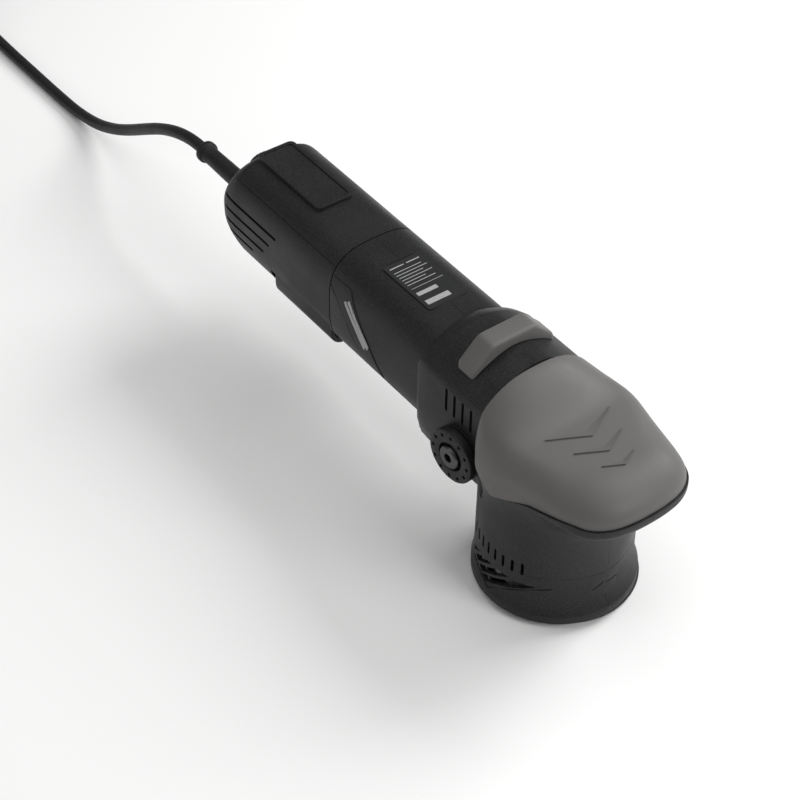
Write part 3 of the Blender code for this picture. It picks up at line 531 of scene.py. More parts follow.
def makePlug():
    # a rounded body, swelling from the cord to a flat face
    rings = []
    x0, y0, z0 = lead["tail"][-1]
    for x, half, high in plugSizes["stations"]:
        ring = []
        for step in range(plugSizes["around"]):
            around = 2 * math.pi * step / plugSizes["around"]
            y = half * power(math.cos(around), plugSizes["squareness"])
            z = high * power(math.sin(around), plugSizes["squareness"])
            ring.append(at(x0 + x, y0 + y, z0 + z))
        rings.append(ring)
    body = solidSweep("plugBody", rings)
    grooves = []
    for index in range(plugSizes["grooves"]):
        x = x0 + plugSizes["firstGroove"] + plugSizes["grooveEvery"] * index
        grooves.append(turnPiece("plugGroove", plugSizes["groove"], at(x, y0, z0), alongX,
                                 plugSizes["around"]))
    combine(body, grooves)
    return finishPiece(body, "housing", "black_rubber", ["plug_body"])


cord, cordLength = makeLead()
plug = makePlug()
at(*lead["start"])
print("mains lead ready", round(cordLength, 2))

# the barrel's outline runs through the handle and the motor; cutting tools reach clear of the object
casing = {"axisZ": 80.0, "halfWidth": 28.5, "halfHeight": 30.5, "corner": 2 / 3, "steps": 112, "wall": 2.5,
          "gap": 0.3, "clear": 40, "below": 30, "above": 130}
barrelTop = casing["axisZ"] + casing["halfHeight"]
barrelBottom = casing["axisZ"] - casing["halfHeight"]


def barrelRing(x, inset=0.0, narrower=0.0, lower=0.0, higher=0.0):
    half = casing["halfWidth"] - inset - narrower
    top, bottom = barrelTop - inset - lower, barrelBottom + inset + higher
    ring = []
    for step in range(casing["steps"]):
        angle = 2 * math.pi * step / casing["steps"]
        y = half * power(math.cos(angle), casing["corner"])
        z = (top + bottom) / 2 + (top - bottom) / 2 * power(math.sin(angle), casing["corner"])
        ring.append(at(x, y, z))
    return ring


def barrelLength(name, rear, front, inset):
    return solidSweep(name, [barrelRing(x, inset) for x in (rear, front)])


def throughPlan(name, outline):
    # a tool of this outline, seen from the side, through the whole object
    return extrudePlan(name, outline, "Y", -casing["clear"], casing["clear"])


def copyPiece(piece, name):
    pick(piece)
    bpy.ops.object.duplicate()
    return named(name)


def roundedPlan(low, high, radius, steps=6):
    # rectangle with round corners, in two coordinates
    outline = []
    for cornerX, cornerY, start in ((high[0] - radius, high[1] - radius, 0),
                                    (low[0] + radius, high[1] - radius, 1),
                                    (low[0] + radius, low[1] + radius, 2),
                                    (high[0] - radius, low[1] + radius, 3)):
        for step in range(steps + 1):
            angle = math.pi / 2 * (start + step / steps)
            outline.append((cornerX + radius * math.cos(angle), cornerY + radius * math.sin(angle)))
    return outline


# rear handle
handle = {"rear": -256.5, "front": -150.3, "split": 102.5, "behind": -270, "ahead": -140,
          # back from the rear end: narrower by, lower by, higher by
          "end": [(22.0, 0.0, 0.0, 0.0), (16.5, 0.2, 0.8, 1.5), (10.5, 0.8, 6.0, 5.5), (5.5, 2.6, 14.0, 11.0),
                  (1.6, 6.5, 21.8, 18.0), (0.0, 11.0, 26.5, 23.0)], "endSpans": 5,
          "well": (-205.3, -151.7, 65.8), "dialSlot": (-239.3, 15.3, 94.7, 104.5),
          "vents": [(-247.0, -198.4, 90.0), (-247.0, -204.4, 82.4), (-246.0, -210.0, 75.0),
                    (-244.0, -221.0, 68.6)],
          "ventHalf": 0.9, "ventRound": 0.85, "ventReach": (20, 40)}
thumbRest = {"rear": -240.0, "front": -183.0, "half": 11.3, "rise": 1.8, "round": 3.0, "edge": 0.9,
             "lip": 2.0, "deep": 0.7, "dishRound": 2.2, "dishEdge": 0.6}
dial = {"x": -238.3, "radius": 14.7, "steps": 240, "teeth": 40, "toothDepth": 0.55, "toothed": (95.4, 101.6),
        "levels": ((95.0, 1.0), (95.5, 0.3), (96.0, 0.0), (101.0, 0.0), (101.5, 0.3), (102.0, 1.0))}
sleeve = {"z": 67.7, "steps": 64, "hole": [(0, -262), (6.6, -262), (6.6, -240), (0, -240)],
          "profile": [(0, -241), (8.1, -241), (8.5, -241.4), (8.5, -244.1), (8.1, -244.5), (6.4, -244.5),
                      (6.2, -244.8), (6.2, -250), (6.15, -256), (5.9, -259), (5.6, -262), (5.0, -300),
                      (4.95, -306.6), (5.3, -307.2), (5.9, -307.5), (6.25, -308.0), (6.3, -308.8),
                      (6.3, -310.4), (6.15, -311.1), (5.7, -311.7), (5.0, -312), (0, -312)]}
lever = {"rear": -204.3, "front": -152.7, "half": 25.4, "low": 48.0, "top": 65.1, "corner": 8, "wall": 2,
         "edge": 0.6, "ridges": 4, "firstRidge": -199, "ridgeEvery": 9, "ridgeWide": 3, "ridgeDeep": 0.8,
         "ridgeRound": 0.7, "hingeX": -157.5, "hingeZ": 60, "slope": math.radians(3.0) + 0.004,
         "slopeLong": 60, "slopeHigh": 10, "pad": ((-190, -4, 48.9), (-186, 4, 57.4)),
         "pinHole": (1.65, 25.04)}


def handleRings(inset, rear, front):
    rings = [barrelRing(front, inset)]
    for ahead, narrower, lower, higher in curveThrough(handle["end"], handle["endSpans"]):
        rings.append(barrelRing(rear + max(0, ahead), inset, narrower, lower, higher))
    return rings


def makeHandle():
    body = solidSweep("handleLower", handleRings(0, handle["rear"], handle["front"]))
    wall, edge, clear = casing["wall"], casing["gap"] / 2, casing["clear"]
    combine(body, [solidSweep("handleHollow", handleRings(wall, handle["rear"] + wall, handle["front"] + 1))])
    cover = copyPiece(body, "handleCover")
    behind, ahead, split = handle["behind"], handle["ahead"], handle["split"]
    combine(body, [boxPiece("aboveSplit", (behind, -clear, split - edge), (ahead, clear, casing["above"]))])
    combine(cover, [boxPiece("belowSplit", (behind, -clear, casing["below"]), (ahead, clear, split + edge))])
    rear, front, top = handle["well"]
    combine(body, [boxPiece("paddleWell", (rear, -clear, casing["below"]), (front, clear, top))])
    cuts = [turnPiece("sleeveHole", sleeve["hole"], at(0, 0, sleeve["z"]), alongX, 48)]
    half = handle["ventHalf"]
    for start, end, height in handle["vents"]:
        for side in (-1, 1):
            plan = roundedPlan((start, height - half), (end, height + half), handle["ventRound"], 5)
            cuts.append(extrudePlan("ventSlot", plan, "Y",
                                    *sorted(side * reach for reach in handle["ventReach"])))
    combine(body, cuts)
    front, half, low, high = handle["dialSlot"]
    combine(body, [boxPiece("dialSlot", (handle["rear"] - 1, -half, low), (front, half, high))])
    # the thumb rest is a low boss with a lip round a shallow dish
    back, ahead, half, lip = thumbRest["rear"], thumbRest["front"], thumbRest["half"], thumbRest["lip"]
    level = barrelTop + thumbRest["rise"]
    boss = extrudePlan("thumbRest", roundedPlan((back, -half), (ahead, half), thumbRest["round"], 8), "Z",
                       barrelTop - 2, level)
    roundEdges(boss, thumbRest["edge"], 5, 60)
    plan = roundedPlan((back + lip, -half + lip), (ahead - lip, half - lip), thumbRest["dishRound"], 8)
    dish = extrudePlan("thumbDish", plan, "Z", level - thumbRest["deep"], level + 2)
    roundEdges(dish, thumbRest["dishEdge"], 4, 60)
    combine(boss, [dish])
    combine(cover, [boss], 'UNION')
    finishPiece(body, "housing", "black_plastic", ["handle_lower_shell"])
    finishPiece(cover, "housing", "black_plastic", ["handle_upper_cover"])


def makeDial():
    rings = []
    low, high = dial["toothed"]
    for z, inset in dial["levels"]:
        ring = []
        for step in range(dial["steps"]):
            angle = 2 * math.pi * step / dial["steps"]
            groove = dial["toothDepth"] * max(0, math.cos(angle * dial["teeth"])) ** 2 if low < z < high else 0
            radius = dial["radius"] - inset - groove
            ring.append(at(dial["x"] + radius * math.cos(angle), radius * math.sin(angle), z))
        rings.append(ring)
    finishPiece(solidSweep("speedDial", rings), "dial", "black_plastic", ["speed_dial"], 40)


def makeSleeve():
    piece = turnPiece("cordSleeve", sleeve["profile"], at(0, 0, sleeve["z"]), alongX, sleeve["steps"])
    finishPiece(piece, "housing", "black_rubber", ["strain_relief"])


def arc(y, z, radius, angles):
    return [(y + radius * math.cos(math.radians(angle)), z + radius * math.sin(math.radians(angle)))
            for angle in angles]


def makePaddle():
    # a trough with round lower corners, ridged under the fingers and hinged at its front
    half, low, top, corner, wall = lever["half"], lever["low"], lever["top"], lever["corner"], lever["wall"]
    middle, inside = half - corner, corner - wall
    outline = (arc(middle, low + corner, corner, range(-90, 1, 10)) + [(half, top), (half - wall, top)]
               + arc(middle, low + corner + 1, inside, range(0, -91, -10))
               + arc(-middle, low + corner + 1, inside, range(270, 179, -10))
               + [(-half + wall, top), (-half, top)]
               + arc(-middle, low + corner, corner, range(180, 271, 10)))
    paddle = extrudePlan("paddleLever", outline, "X", lever["rear"], lever["front"])
    roundEdges(paddle, lever["edge"], 3, 50)
    ridges = []
    for index in range(lever["ridges"]):
        x = lever["firstRidge"] + lever["ridgeEvery"] * index
        plan = roundedPlan((x, low - 3), (x + lever["ridgeWide"], low + lever["ridgeDeep"]),
                           lever["ridgeRound"], 4)
        ridges.append(extrudePlan("ridgeCut", plan, "Y", -30, 30))
    combine(paddle, ridges)
    hingeX, clear = lever["hingeX"], casing["clear"]
    low, high = (hingeX - lever["slopeLong"], -clear, top), (hingeX, clear, top + lever["slopeHigh"])
    slope = boxPiece("slopeCut", low, high, (0, -lever["slope"], 0), (hingeX, 0, top))
    combine(paddle, [slope])
    combine(paddle, [boxPiece("pushPad", *lever["pad"])], 'UNION')
    radius, reach = lever["pinHole"]
    profile = [(0, -reach), (radius, -reach), (radius, reach), (0, reach)]
    combine(paddle, [turnPiece("pinHole", profile, at(hingeX, 0, lever["hingeZ"]), alongY, 24)])
    finishPiece(paddle, "paddle", "black_plastic", ["paddle_lever"])


makeHandle()
makeDial()
makeSleeve()
makePaddle()
print("rear handle ready")


# motor housing; on each flank a slanted facet starts at the seam, with a groove along its lower edge
motor = {"rear": -150.0, "front": -60.0, "rearEdge": ((0, 0.5), (0.25, 0.12), (0.8, 0)),
         "seamFrom": -149.2, "seamTo": -74}
flank = {"rear": -149.2, "front": -100, "rise": 0.35,
         "panel": [(-149.2, 99.0), (-134.6, 99.4), (-131.4, 95.6), (-116.0, 76.8), (-106.0, 62.4),
                   (-121.0, 62.4), (-128.6, 71.1), (-135.6, 80.5), (-142.6, 88.8), (-149.2, 94.6)],
         "groove": [(-150.5, 94.6), (-143.3, 88.9), (-135.9, 80.2), (-129.2, 70.8), (-121.7, 62.4),
                    (-72.0, 61.6)],
         "grooveWide": (0.1, 0.7), "grooveDeep": 0.5,
         "stripe": [(-137.0, 91.2), (-135.6, 92.6), (-118.4, 74.8), (-119.8, 71.6)],
         "stripeShifts": (0.0, 2.6), "stripeSlant": 0.6, "stripeRise": 0.6, "stripeCore": 0.36}
label = {"rear": -128.5, "front": -89.7, "half": 11.6, "margin": 0.3, "deep": 0.9, "face": 0.2,
         # bars: from the label's rear, from and to across it, width
         "bars": [(2.2, -9.5, -1.0, 0.7), (2.2, 0.6, 8.5, 0.7), (6.0, -9.5, 7.0, 0.45), (8.2, -9.5, 8.8, 0.45),
                  (10.4, -9.5, 5.0, 0.45), (12.6, -9.5, 8.8, 0.45), (14.8, -9.5, 3.2, 0.45),
                  (17.0, -9.5, 7.6, 0.45), (20.4, -9.5, 9.5, 0.3), (24.0, -9.5, 2.5, 2.6),
                  (31.0, -9.5, 4.5, 3.4)]}


def makeFlankBar():
    # plain light stripes lying on the facet of each flank
    bars = barrelLength("flankBar", -149, flank["front"], -flank["stripeRise"])
    stripes = []
    for shift in flank["stripeShifts"]:
        plan = [(x + shift, z + shift * flank["stripeSlant"]) for x, z in flank["stripe"]]
        stripes.append(throughPlan("stripePlan", plan))
    combine(bars, stripes, 'INTERSECT')
    combine(bars, [barrelLength("flankCore", -152, -96, -flank["stripeCore"])])
    finishPiece(bars, "housing", "label", finish=printedMark)


def makeLabelMarks():
    # plain light bars of unequal length lie on the label
    level = barrelTop - label["face"]
    marks = []
    for along, low, high, wide in label["bars"]:
        x = label["rear"] + along + 1
        marks.append(boxPiece("labelMarks", (x, low, level + 0.01), (x + wide, high, level + 0.05)))
    finishPiece(joined(marks), "housing", "label", finish=printedMark)


def makeMotorHousing():
    rings = [barrelRing(motor["rear"] + along, inset) for along, inset in motor["rearEdge"]]
    barrel = solidSweep("motorHousing", rings + [barrelRing(motor["front"])])
    band = barrelLength("flankBand", flank["rear"], flank["front"], -flank["rise"])
    combine(band, [throughPlan("flankPlan", flank["panel"])], 'INTERSECT')
    combine(barrel, [band], 'UNION')
    wide, high = flank["grooveWide"]
    ribbon = flank["groove"] + [(x - wide, z - high) for x, z in reversed(flank["groove"])]
    groove = throughPlan("flankGroove", ribbon)
    combine(groove, [barrelLength("flankCore", -156, -66, flank["grooveDeep"])])
    combine(barrel, [groove])
    combine(barrel, [barrelLength("motorHollow", motor["rear"] - 1, motor["front"] + 1, casing["wall"])])
    rear, front, side, margin = label["rear"], label["front"], label["half"], label["margin"]
    plan = roundedPlan((rear - margin, -side - margin), (front + margin, side + margin), 1.5)
    combine(barrel, [extrudePlan("labelRecess", plan, "Z", barrelTop - label["deep"], barrelTop + 1)])
    # the halves of the moulding meet in a fine line along the top and the underside
    start, end, top, bottom = motor["seamFrom"], motor["seamTo"], barrelTop, barrelBottom
    combine(barrel, [boxPiece("seamLine", (start, -0.08, top - 0.25), (rear - 1.2, 0.08, top + 1)),
                     boxPiece("seamLine", (front + 1.2, -0.08, top - 0.25), (end, 0.08, top + 1)),
                     boxPiece("seamLine", (start, -0.15, bottom - 1), (end, 0.15, bottom + 0.35))])
    finishPiece(barrel, "housing", "black_plastic", ["motor_housing"])
    plate = extrudePlan("ratingLabel", roundedPlan((rear, -side), (front, side), 1.3), "Z", top - 0.6,
                        top - label["face"])
    finishPiece(plate, "housing", "label", ["rating_label"])


makeMotorHousing()
makeFlankBar()
makeLabelMarks()
print("motor housing ready")


# head: two shells that make the collar and the neck, with the palm cover, slider and side rings
head = {"clear": 60,
        "fins": [((122.5, 18.2), (120.5, 15.8), (105.8, 23.7)),      # degrees from the nose, height
                 ((114.9, 16.7), (110.5, 14.9), (89.4, 25.4), (99.6, 24.4)),
                 ((107.1, 15.0), (101.6, 13.4), (72.6, 25.6), (83.3, 25.4)),
                 ((99.8, 12.7), (94.4, 11.1), (52.1, 25.4), (69.7, 24.8))],
        "slits": 8, "slitAngle": 118.5, "slitEvery": 7.93, "slitZ": 32.6, "slitRise": 0.32,
        "slitHalf": (1.2, 3.8),
        "vents": 4, "ventX": -49.5, "ventEvery": 6.2, "ventHalf": 0.9, "ventZ": (86, 100),
        "ventReach": (25, 45),
        # fine cuts on both flanks and at the nose, each with its radius
        "flankLines": [([(121, 13.6), (108, 13.0), (93, 10.2)], 0.5),
                       ([(93, 10.2), (79, 16.0), (60, 22.6), (42.5, 25.6)], 0.5),
                       ([(62, 31.6), (49, 32.4), (35, 32.4), (18, 31.6), (2, 30.8)], 0.2)],
        "noseLines": [([(-12.2, 21.0), (-2.6, 23.9)], 0.5), ([(-0.6, 22.6), (10.8, 22.9)], 0.5)],
        "parting": ((75, 88.6), (45, 88.6), (20, 83), (-2, 74), (-19, 81.5), (-24, 103), (-24, 140),
                    (75, 140)),
        "lockSlot": ((-47.8, -2.4, 108), (-39.4, 2.4, 125))}
collar = {"rear": -74.0, "front": 10.0, "half": 31.8, "top": 118.0, "bottom": 45.5, "shoulder": 16.5,
          # share of the half width with the fall from the top, then with the share of the flank's height
          "roof": [(0.0, 0), (0.1, 0.15), (0.25, 1.1), (0.42, 3.2), (0.6, 6.0), (0.77, 9.6), (0.9, 13.0),
                   (0.965, 15.0)],
          "flank": [(1.0, 1.0), (1.0, 0.75), (1.0, 0.5), (0.985, 0.3), (0.93, 0.15), (0.8, 0.05), (0.55, 0.0)],
          # rear edge: ahead of it, narrower by, lower by, higher by
          "mouth": [(0, 1.6, 5.0, 1.8), (0.4, 1.2, 4.4, 1.5), (3, 0.4, 2.4, 0.6), (8.6, 0.02, 0.1, 0.02),
                    (9.4, 0, 0, 0)]}
neck = {"steps": 144, "margin": 1.2, "rearAngle": 2.4, "rearReach": 44, "flatFrom": -15, "axisX": -2,
        # height, reach ahead, reach behind, half width, share of the nose's outline
        "skirt": [(4, 40.6, 40.6, 40.6, 0), (4.4, 41, 41, 41, 0), (8.6, 41, 41, 41, 0),
                  (9.1, 40.7, 40.9, 40.8, 0), (14, 37.4, 40.8, 39, 0)],
        "flare": [(56, 36.6, 41, 38.4, 0.0), (66, 36.8, 42, 38.4, 0.12), (74, 37.6, 43, 38.4, 0.38),
                  (80, 39, 44, 38.4, 0.76), (83.5, 41, 44, 38.6, 0.98), (89, 41, 44, 38.6, 1.0)]}
sideRing = {"x": -37.6, "z": 68.7, "radius": 14.6, "thick": 5.0, "tilt": math.radians(4.0), "seat": 1.3,
            "boss": [(0, -20), (14.0, -20), (14.0, 0), (0, 0)], "holes": 12, "holeCircle": 11.8, "hole": 0.95}
cover = {"level": 104.0, "crown": 0.0012, "roof": 116.7, "roofFall": 14.2, "roofHalf": 32.5, "roofPower": 2.6,
         "slope": (-24, 8), "spine": (-36, 22), "wall": 3.0, "base": 0.060,
         "shares": (0, 0.006, 0.015, 0.03, 0.05, 0.075, 0.105, 0.14, 0.18, 0.23, 0.28, 0.34, 0.42, 0.52, 0.64,
                    0.77, 0.9, 0.985), "innerShares": (0, 0.05, 0.11, 0.19, 0.29, 0.42, 0.62, 0.85),
         # chevrons: outer apex, inner apex, tips along and across
         "chevrons": [(18.0, 13.6, 7.0, 19.4), (29.8, 26.0, 21.4, 14.4), (40.6, 37.8, 35.0, 9.6)]}
slider = {"x": -45.5, "reach": 24.5, "flat": 13.0, "top": 124.0, "half": 5.95, "endHigh": 4.2, "steps": 36,
          "bend": 1.2, "bluntFrom": 23.0, "bluntLong": 1.5, "endIn": 1.1, "endDown": 1.3, "above": 0.4,
          "edge": ((0, 1.9), (0.15, 1.1), (0.55, 0.5), (1.2, 0.12), (2.0, 0))}
noseSide = [(-36, 32.2), (-29, 32.4), (-24, 34.2), (-20, 37.4), (-15.5, 40.2), (-9, 41.7), (-2, 41.9),
            (5, 40.8), (13, 38.9), (21, 37.2), (30, 35.8), (38, 34.4), (45, 32.6), (50.5, 29.8), (54.8, 25.2),
            (58.0, 18.4), (59.6, 9.4)]
noseOutline = noseSide + [(60.0, 0)] + [(x, -y) for x, y in reversed(noseSide)]
nosePlan = [tuple(spot) for spot in curveThrough(noseOutline, 4)]
reachTable = sorted((math.atan2(y, x), math.hypot(x, y)) for x, y in nosePlan)


def outlineReach(angle):
    for (before, near), (after, far) in zip(reachTable, reachTable[1:]):
        if before <= angle <= after:
            return near + (far - near) * (angle - before) / max(after - before, 1e-9)
    return reachTable[0][1]


def headPoint(angle, z, front, rear, half, flare, inset=0.0):
    reach = front if abs(angle) < math.pi / 2 else rear
    oval = 1 / math.hypot(math.cos(angle) / reach, math.sin(angle) / half)
    radius = oval + (outlineReach(angle) + neck["margin"] - oval) * flare
    if abs(angle) > neck["rearAngle"]:
        radius = min(radius, neck["rearReach"])
    radius -= inset
    x, y = radius * math.cos(angle), radius * math.sin(angle)
    if x < neck["flatFrom"] and flare > 0:
        y = max(-collar["half"] + inset, min(collar["half"] - inset, y))
    return x, y, z


neckStations = neck["skirt"] + [tuple(station) for station in curveThrough(neck["flare"], 4)]


def neckRings(inset, lowest, highest):
    rings = []
    for z, front, rear, half, flare in neckStations:
        height = min(max(z, lowest), highest)
        ring = []
        for step in range(neck["steps"]):
            angle = 2 * math.pi * step / neck["steps"]
            angle = angle if angle <= math.pi else angle - 2 * math.pi
            ring.append(at(*headPoint(angle, height, front, rear, half, max(0, flare), inset)))
        rings.append(ring)
    return [ring for index, ring in enumerate(rings) if index == 0 or ring[0].z > rings[index - 1][0].z]


def collarSection():
    # from the roof's middle down to the belly
    top, bottom = collar["top"], collar["bottom"]
    middle = top - collar["shoulder"]
    roof = curveThrough([(share, top - fall) for share, fall in collar["roof"]], 3)
    section = [tuple(spot) for spot in roof][1:]
    return section + [(share, bottom + climb * (middle - 1.5 - bottom)) for share, climb in collar["flank"]]


collarShape = collarSection()


def collarRing(x, inset, narrower=0.0, lower=0.0, higher=0.0):
    half = collar["half"] - inset - narrower
    low, high = collar["bottom"] + inset + higher, collar["top"] - inset - lower
    ring = []
    for share, z in collarShape:
        level = low + (z - collar["bottom"]) * (high - low) / (collar["top"] - collar["bottom"])
        ring.append((x, share * half, level))
    return [at(*spot) for spot in ring] + [at(x, -y, z) for x, y, z in reversed(ring)]


def collarRings(inset, rear, front):
    rings = [collarRing(rear + ahead, inset, *change) for ahead, *change in collar["mouth"]]
    return rings + [collarRing(front, inset)]


def collarHeight(y):
    roof = [(0, collar["top"])] + [(share * collar["half"], z) for share, z in collarShape]
    for (inner, high), (outer, low) in zip(roof, roof[1:]):
        if abs(y) <= outer:
            return high + (low - high) * (abs(y) - inner) / max(outer - inner, 1e-9)
    return roof[-1][1]


def wrapCut(name, corners, pieces=1):
    # a tool through the neck's wall, its edges divided so that they follow the round neck
    spots = []
    for (angle, z), (nextAngle, nextZ) in zip(corners, corners[1:] + corners[:1]):
        for step in range(pieces):
            share = step / pieces
            spots.append((math.radians(angle + (nextAngle - angle) * share), z + (nextZ - z) * share))
    rings = [[at(neck["axisX"] + radius * math.cos(angle), radius * math.sin(angle), z) for angle, z in spots]
             for radius in (30, 50)]
    return solidSweep(name, rings)


def neckSpot(angle, z, out=0.0):
    # a place on the lower neck's skin; angle in degrees from the nose
    for below, above in zip(neckStations, neckStations[1:]):
        if below[0] <= z <= above[0]:
            share = (z - below[0]) / (above[0] - below[0])
            front, rear, half, flare = [a + (b - a) * share for a, b in zip(below[1:], above[1:])]
            return headPoint(math.radians(angle), z, front, rear, half, max(0, flare), -out)
    raise ValueError("no neck at this height")


def grooveTool(name, spots, radius):
    # a thin tube laid along the neck's skin
    path = [at(*spot) for spot in curveThrough(spots, 6)]
    rings = []
    for index, spot in enumerate(path):
        ahead = (path[min(index + 1, len(path) - 1)] - path[max(index - 1, 0)]).normalized()
        side = ahead.cross(Vector((0, 0, 1))).normalized()
        up = side.cross(ahead)
        rings.append([spot + radius * mm * (side * math.cos(2 * math.pi * step / 10)
                                            + up * math.sin(2 * math.pi * step / 10)) for step in range(10)])
    return solidSweep(name, rings)


def ringCentre(side):
    return at(sideRing["x"], side * (collar["half"] + sideRing["seat"]), sideRing["z"])


def ringLean(side):
    return (side * -math.pi / 2, 0, -side * sideRing["tilt"])


def partingTool(name, offset):
    plan = [(x - offset, z - offset) for x, z in head["parting"]]
    return extrudePlan(name, plan, "Y", -head["clear"], head["clear"])


def openingTools():
    # the collar's vents, the neck's slits and the slanted openings between its fins, on both flanks
    tools = []
    for side in (-1, 1):
        for index in range(head["vents"]):
            x, half = head["ventX"] + head["ventEvery"] * index, head["ventHalf"]
            low, high = head["ventZ"]
            plan = roundedPlan((x - half, low), (x + half, high), 0.85, 5)
            tools.append(extrudePlan("collarVent", plan, "Y",
                                     *sorted(side * reach for reach in head["ventReach"])))
        turn, half = head["slitHalf"]
        for index in range(head["slits"]):
            angle, z = head["slitAngle"] - head["slitEvery"] * index, head["slitZ"] + head["slitRise"] * index
            plan = roundedPlan((angle - turn, z - half), (angle + turn, z + half), 0.9, 3)
            tools.append(wrapCut("neckSlit", [(side * along, height) for along, height in plan]))
        for fin in head["fins"]:
            tools.append(wrapCut("neckFin", [(side * angle, z) for angle, z in fin], 8))
    return tools


def makeHeadShells():
    gap, wall = casing["gap"], casing["wall"]
    body = solidSweep("headShellLeft", collarRings(0, collar["rear"], collar["front"]))
    combine(body, [solidSweep("neckBody", neckRings(0, 4, 89))], 'UNION')
    for side in (-1, 1):
        boss = turnPiece("ringBoss", sideRing["boss"], ringCentre(side), ringLean(side))
        combine(body, [boss], 'UNION')
    combine(body, [solidSweep("collarHollow", collarRings(wall, collar["rear"] - 1, collar["front"] - 2))])
    inner = neckRings(wall, 4, 86)
    inner = [[Vector((spot.x, spot.y, 0.003)) for spot in inner[0]]] + inner[1:]
    inner.append([Vector((spot.x, spot.y, 0.092)) for spot in inner[-1]])
    combine(body, [solidSweep("neckHollow", inner)])
    combine(body, [partingTool("partingTrim", gap)])
    combine(body, [barrelLength("barrelSeat", collar["rear"] - 1, motor["front"] + gap, -gap)])
    for tool in openingTools():
        combine(body, [tool])
    combine(body, [boxPiece("lockSlot", *head["lockSlot"])])
    lines = [([(side * angle, z) for angle, z in spots], radius)
             for side in (-1, 1) for spots, radius in head["flankLines"]]
    for spots, radius in lines + head["noseLines"]:
        combine(body, [grooveTool("neckGroove", [neckSpot(angle, z, 0.1) for angle, z in spots], radius)])
    right = copyPiece(body, "headShellRight")
    combine(body, [boxPiece("halfCut", (-90, -0.05, -10), (80, 70, 150))])
    combine(right, [boxPiece("halfCut", (-90, -70, -10), (80, 0.05, 150))])
    finishPiece(body, "housing", "black_plastic", ["head_shell_left"], 34)
    finishPiece(right, "housing", "black_plastic", ["head_shell_right"], 34)


def coverTop(x, y):
    # level over the nose, rising behind it to meet the collar's roof
    level = cover["level"] - cover["crown"] * y * y
    roof = cover["roof"] - cover["roofFall"] * (abs(y) / cover["roofHalf"]) ** cover["roofPower"]
    return level + (roof - level) * (1 - smooth(x, *cover["slope"]))


def coverRings(inset, shares):
    # the nose's outline drawn in towards a spine, over an edge that rolls more at the front
    rings = []
    for share in shares:
        ring = []
        for x, y in nosePlan:
            spineX = min(max(x, cover["spine"][0]), cover["spine"][1])
            reach = math.hypot(x - spineX, y)
            depth = share * reach
            px = x + (spineX - x) * min(1, (inset + depth) / reach)
            py = y - y * min(1, (inset + depth) / reach)
            roll = 6 + 6 * smooth(x, -20, 6) + 9 * smooth(x, 10, 48)
            fall = 8 + 5 * smooth(x, -20, 6) + 1.5 * smooth(x, 10, 48)
            edge = max(0, 1 - depth / roll)
            ring.append(at(px, py, coverTop(px, py) - fall * (1 - math.sqrt(1 - edge * edge)) - inset))
        rings.append(ring)
    return [[Vector((spot.x, spot.y, cover["base"])) for spot in rings[0]]] + rings


def chevronTool(apexX, innerX, tipX, tipY):
    # a thin pointed plate lying on the cover, widest at its apex
    rows = [((tipX, -tipY), (tipX + 0.5, -tipY + 0.1))]
    for step in range(-9, 10):
        share = abs(step) / 10
        rows.append(((innerX + (tipX - innerX) * share, tipY * step / 10),
                     (apexX + (tipX + 0.5 - apexX) * share, tipY * step / 10)))
    rows.append(((tipX, tipY), (tipX + 0.5, tipY - 0.1)))
    rings = []
    for inner, outer in rows:
        ring = []
        for (x, y), rise in ((inner, -0.6), (inner, 0.12), (outer, 0.8), (outer, -0.6)):
            ring.append(at(x, y, coverTop(x, y) + rise))
        rings.append(ring)
    return solidSweep("chevron", rings)


def makePalmCover():
    piece = solidSweep("palmCover", coverRings(0, cover["shares"]))
    for shape in cover["chevrons"]:
        combine(piece, [chevronTool(*shape)], 'UNION')
    combine(piece, [solidSweep("coverHollow", coverRings(cover["wall"], cover["innerShares"]))])
    combine(piece, [partingTool("coverTrim", 0)], 'INTERSECT')
    finishPiece(piece, "housing", "grey_rubber", ["palm_cover"], 40)


def makeLockSlider():
    # a saddle over the roof: level in the middle, sloping to blunt ends
    reach, flat, top = slider["reach"], slider["flat"], slider["top"]
    slope = (top - collarHeight(reach) - slider["endHigh"]) / (reach - flat)
    rings = []
    for index in range(-slider["steps"], slider["steps"] + 1):
        y = reach * index / slider["steps"]
        past = abs(y) - flat
        level = top - slope * (past + math.hypot(past, slider["bend"])) / 2
        blunt = max(0, (abs(y) - slider["bluntFrom"]) / slider["bluntLong"])
        fall = 1 - math.sqrt(max(0, 1 - blunt * blunt))
        wide = slider["half"] - slider["endIn"] * fall
        level -= slider["endDown"] * fall
        section = [(-wide, collarHeight(y) + slider["above"])]
        section += [(-wide + inward, level - down) for inward, down in slider["edge"]]
        section += [(-x, z) for x, z in reversed(section)]
        rings.append([at(slider["x"] + x, y, z) for x, z in section])
    finishPiece(solidSweep("lockSlider", rings), "lock", "grey_rubber", ["lock_slider"], 50)


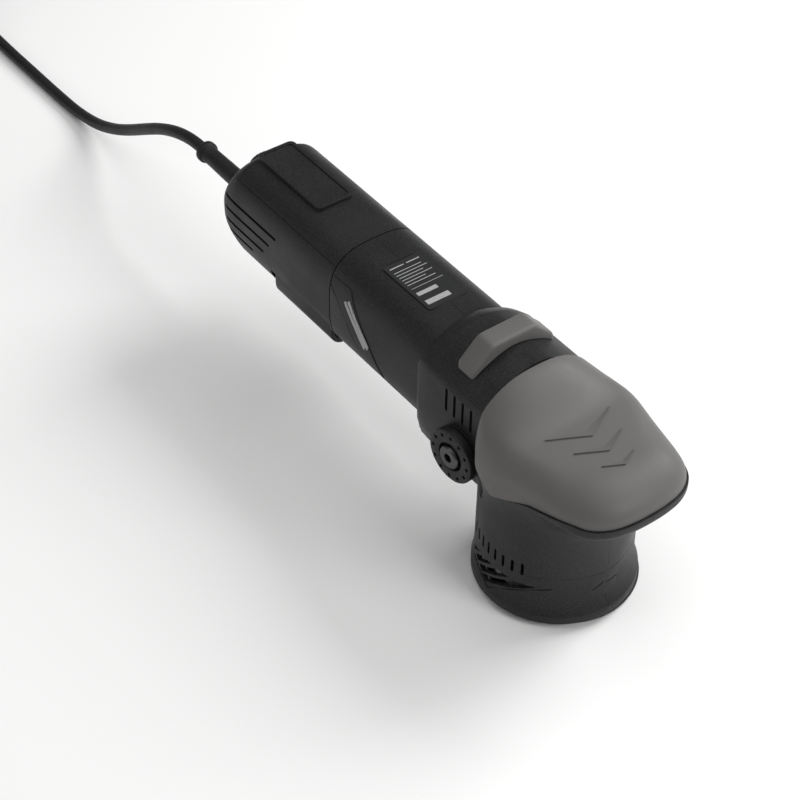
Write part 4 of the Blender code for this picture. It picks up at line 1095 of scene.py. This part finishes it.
def makeSideRings():
    gap, radius, circle, tilt = casing["gap"], sideRing["radius"], sideRing["holeCircle"], sideRing["tilt"]
    top, floor, hole = gap + sideRing["thick"], 2 * gap + 2, sideRing["hole"]
    ringProfile = [(0, gap), (radius - 0.6, gap), (radius, gap + 0.8), (radius, top - 0.9),
                   (radius - 0.2, top - 0.4), (radius - 0.9, top), (8.2, top), (7.8, top - 0.15),
                   (7.6, top - 0.6), (7.6, gap + 2), (0, gap + 2)]
    holeProfile = [(0, gap + 3), (hole, gap + 3), (hole, top - 0.3), (hole + 0.4, top + 1), (0, top + 1)]
    screwProfile = [(0, floor), (6.2, floor), (6.2, floor + 3), (6.0, floor + 3.5), (5.4, floor + 4),
                    (0, floor + 4)]
    socketProfile = [(0, floor + 1.2), (2.6, floor + 1.2), (2.6, floor + 3.6), (3.1, floor + 5),
                     (0, floor + 5)]
    for side, name in ((-1, "left"), (1, "right")):
        centre, lean = ringCentre(side), ringLean(side)
        ring = turnPiece("sideRing_" + name, ringProfile, centre, lean, 96)
        holes = []
        for index in range(sideRing["holes"]):
            angle = 2 * math.pi * index / sideRing["holes"]
            along, up = circle * math.cos(angle), circle * math.sin(angle)
            spot = centre + Vector((along * math.cos(tilt), -side * along * math.sin(tilt), up)) * mm
            holes.append(turnPiece("ringHole", holeProfile, spot, lean, 20))
        combine(ring, holes)
        finishPiece(ring, "housing", "black_plastic", ["side_ring_" + name])
        screw = turnPiece("sideScrew_" + name, screwProfile, centre, lean, 64)
        combine(screw, [turnPiece("screwSocket", socketProfile, centre, lean, 6)])
        finishPiece(screw, "housing", "dark_steel", ["side_screw_" + name])


makeHeadShells()
print("head shells ready")
makePalmCover()
makeLockSlider()
makeSideRings()
print("head ready")


# backing plate and its hook face, about the eccentric's axis
plate = {"profile": [(3.3, 4.6), (3.3, 9.4), (12, 9.4), (13, 9.1), (14, 8.4), (16, 7.9), (29, 6.2),
                     (30.5, 5.2), (31.5, 4.2), (33, 3.8), (36.2, 3.4), (37.0, 3.2), (37.5, 2.7), (37.5, 2.1), (37.2, 1.7),
                     (7, 1.7), (7, 4.6)],
         "face": [(7, 0), (36.6, 0), (36.8, 0.2), (36.8, 1.4), (7, 1.4)]}


def makePlate():
    x, y, z = joints["plate_spin"]["pos_m"]
    pad = turnPiece("backingPlate", plate["profile"], (x, y, 0), steps=128)
    finishPiece(pad, "plate", "black_rubber", ["backing_plate"])
    face = turnPiece("hookFace", plate["face"], (x, y, 0), steps=96)
    finishPiece(face, "plate", "hook_fabric", ["hook_face"])


makePlate()
print("backing plate ready")
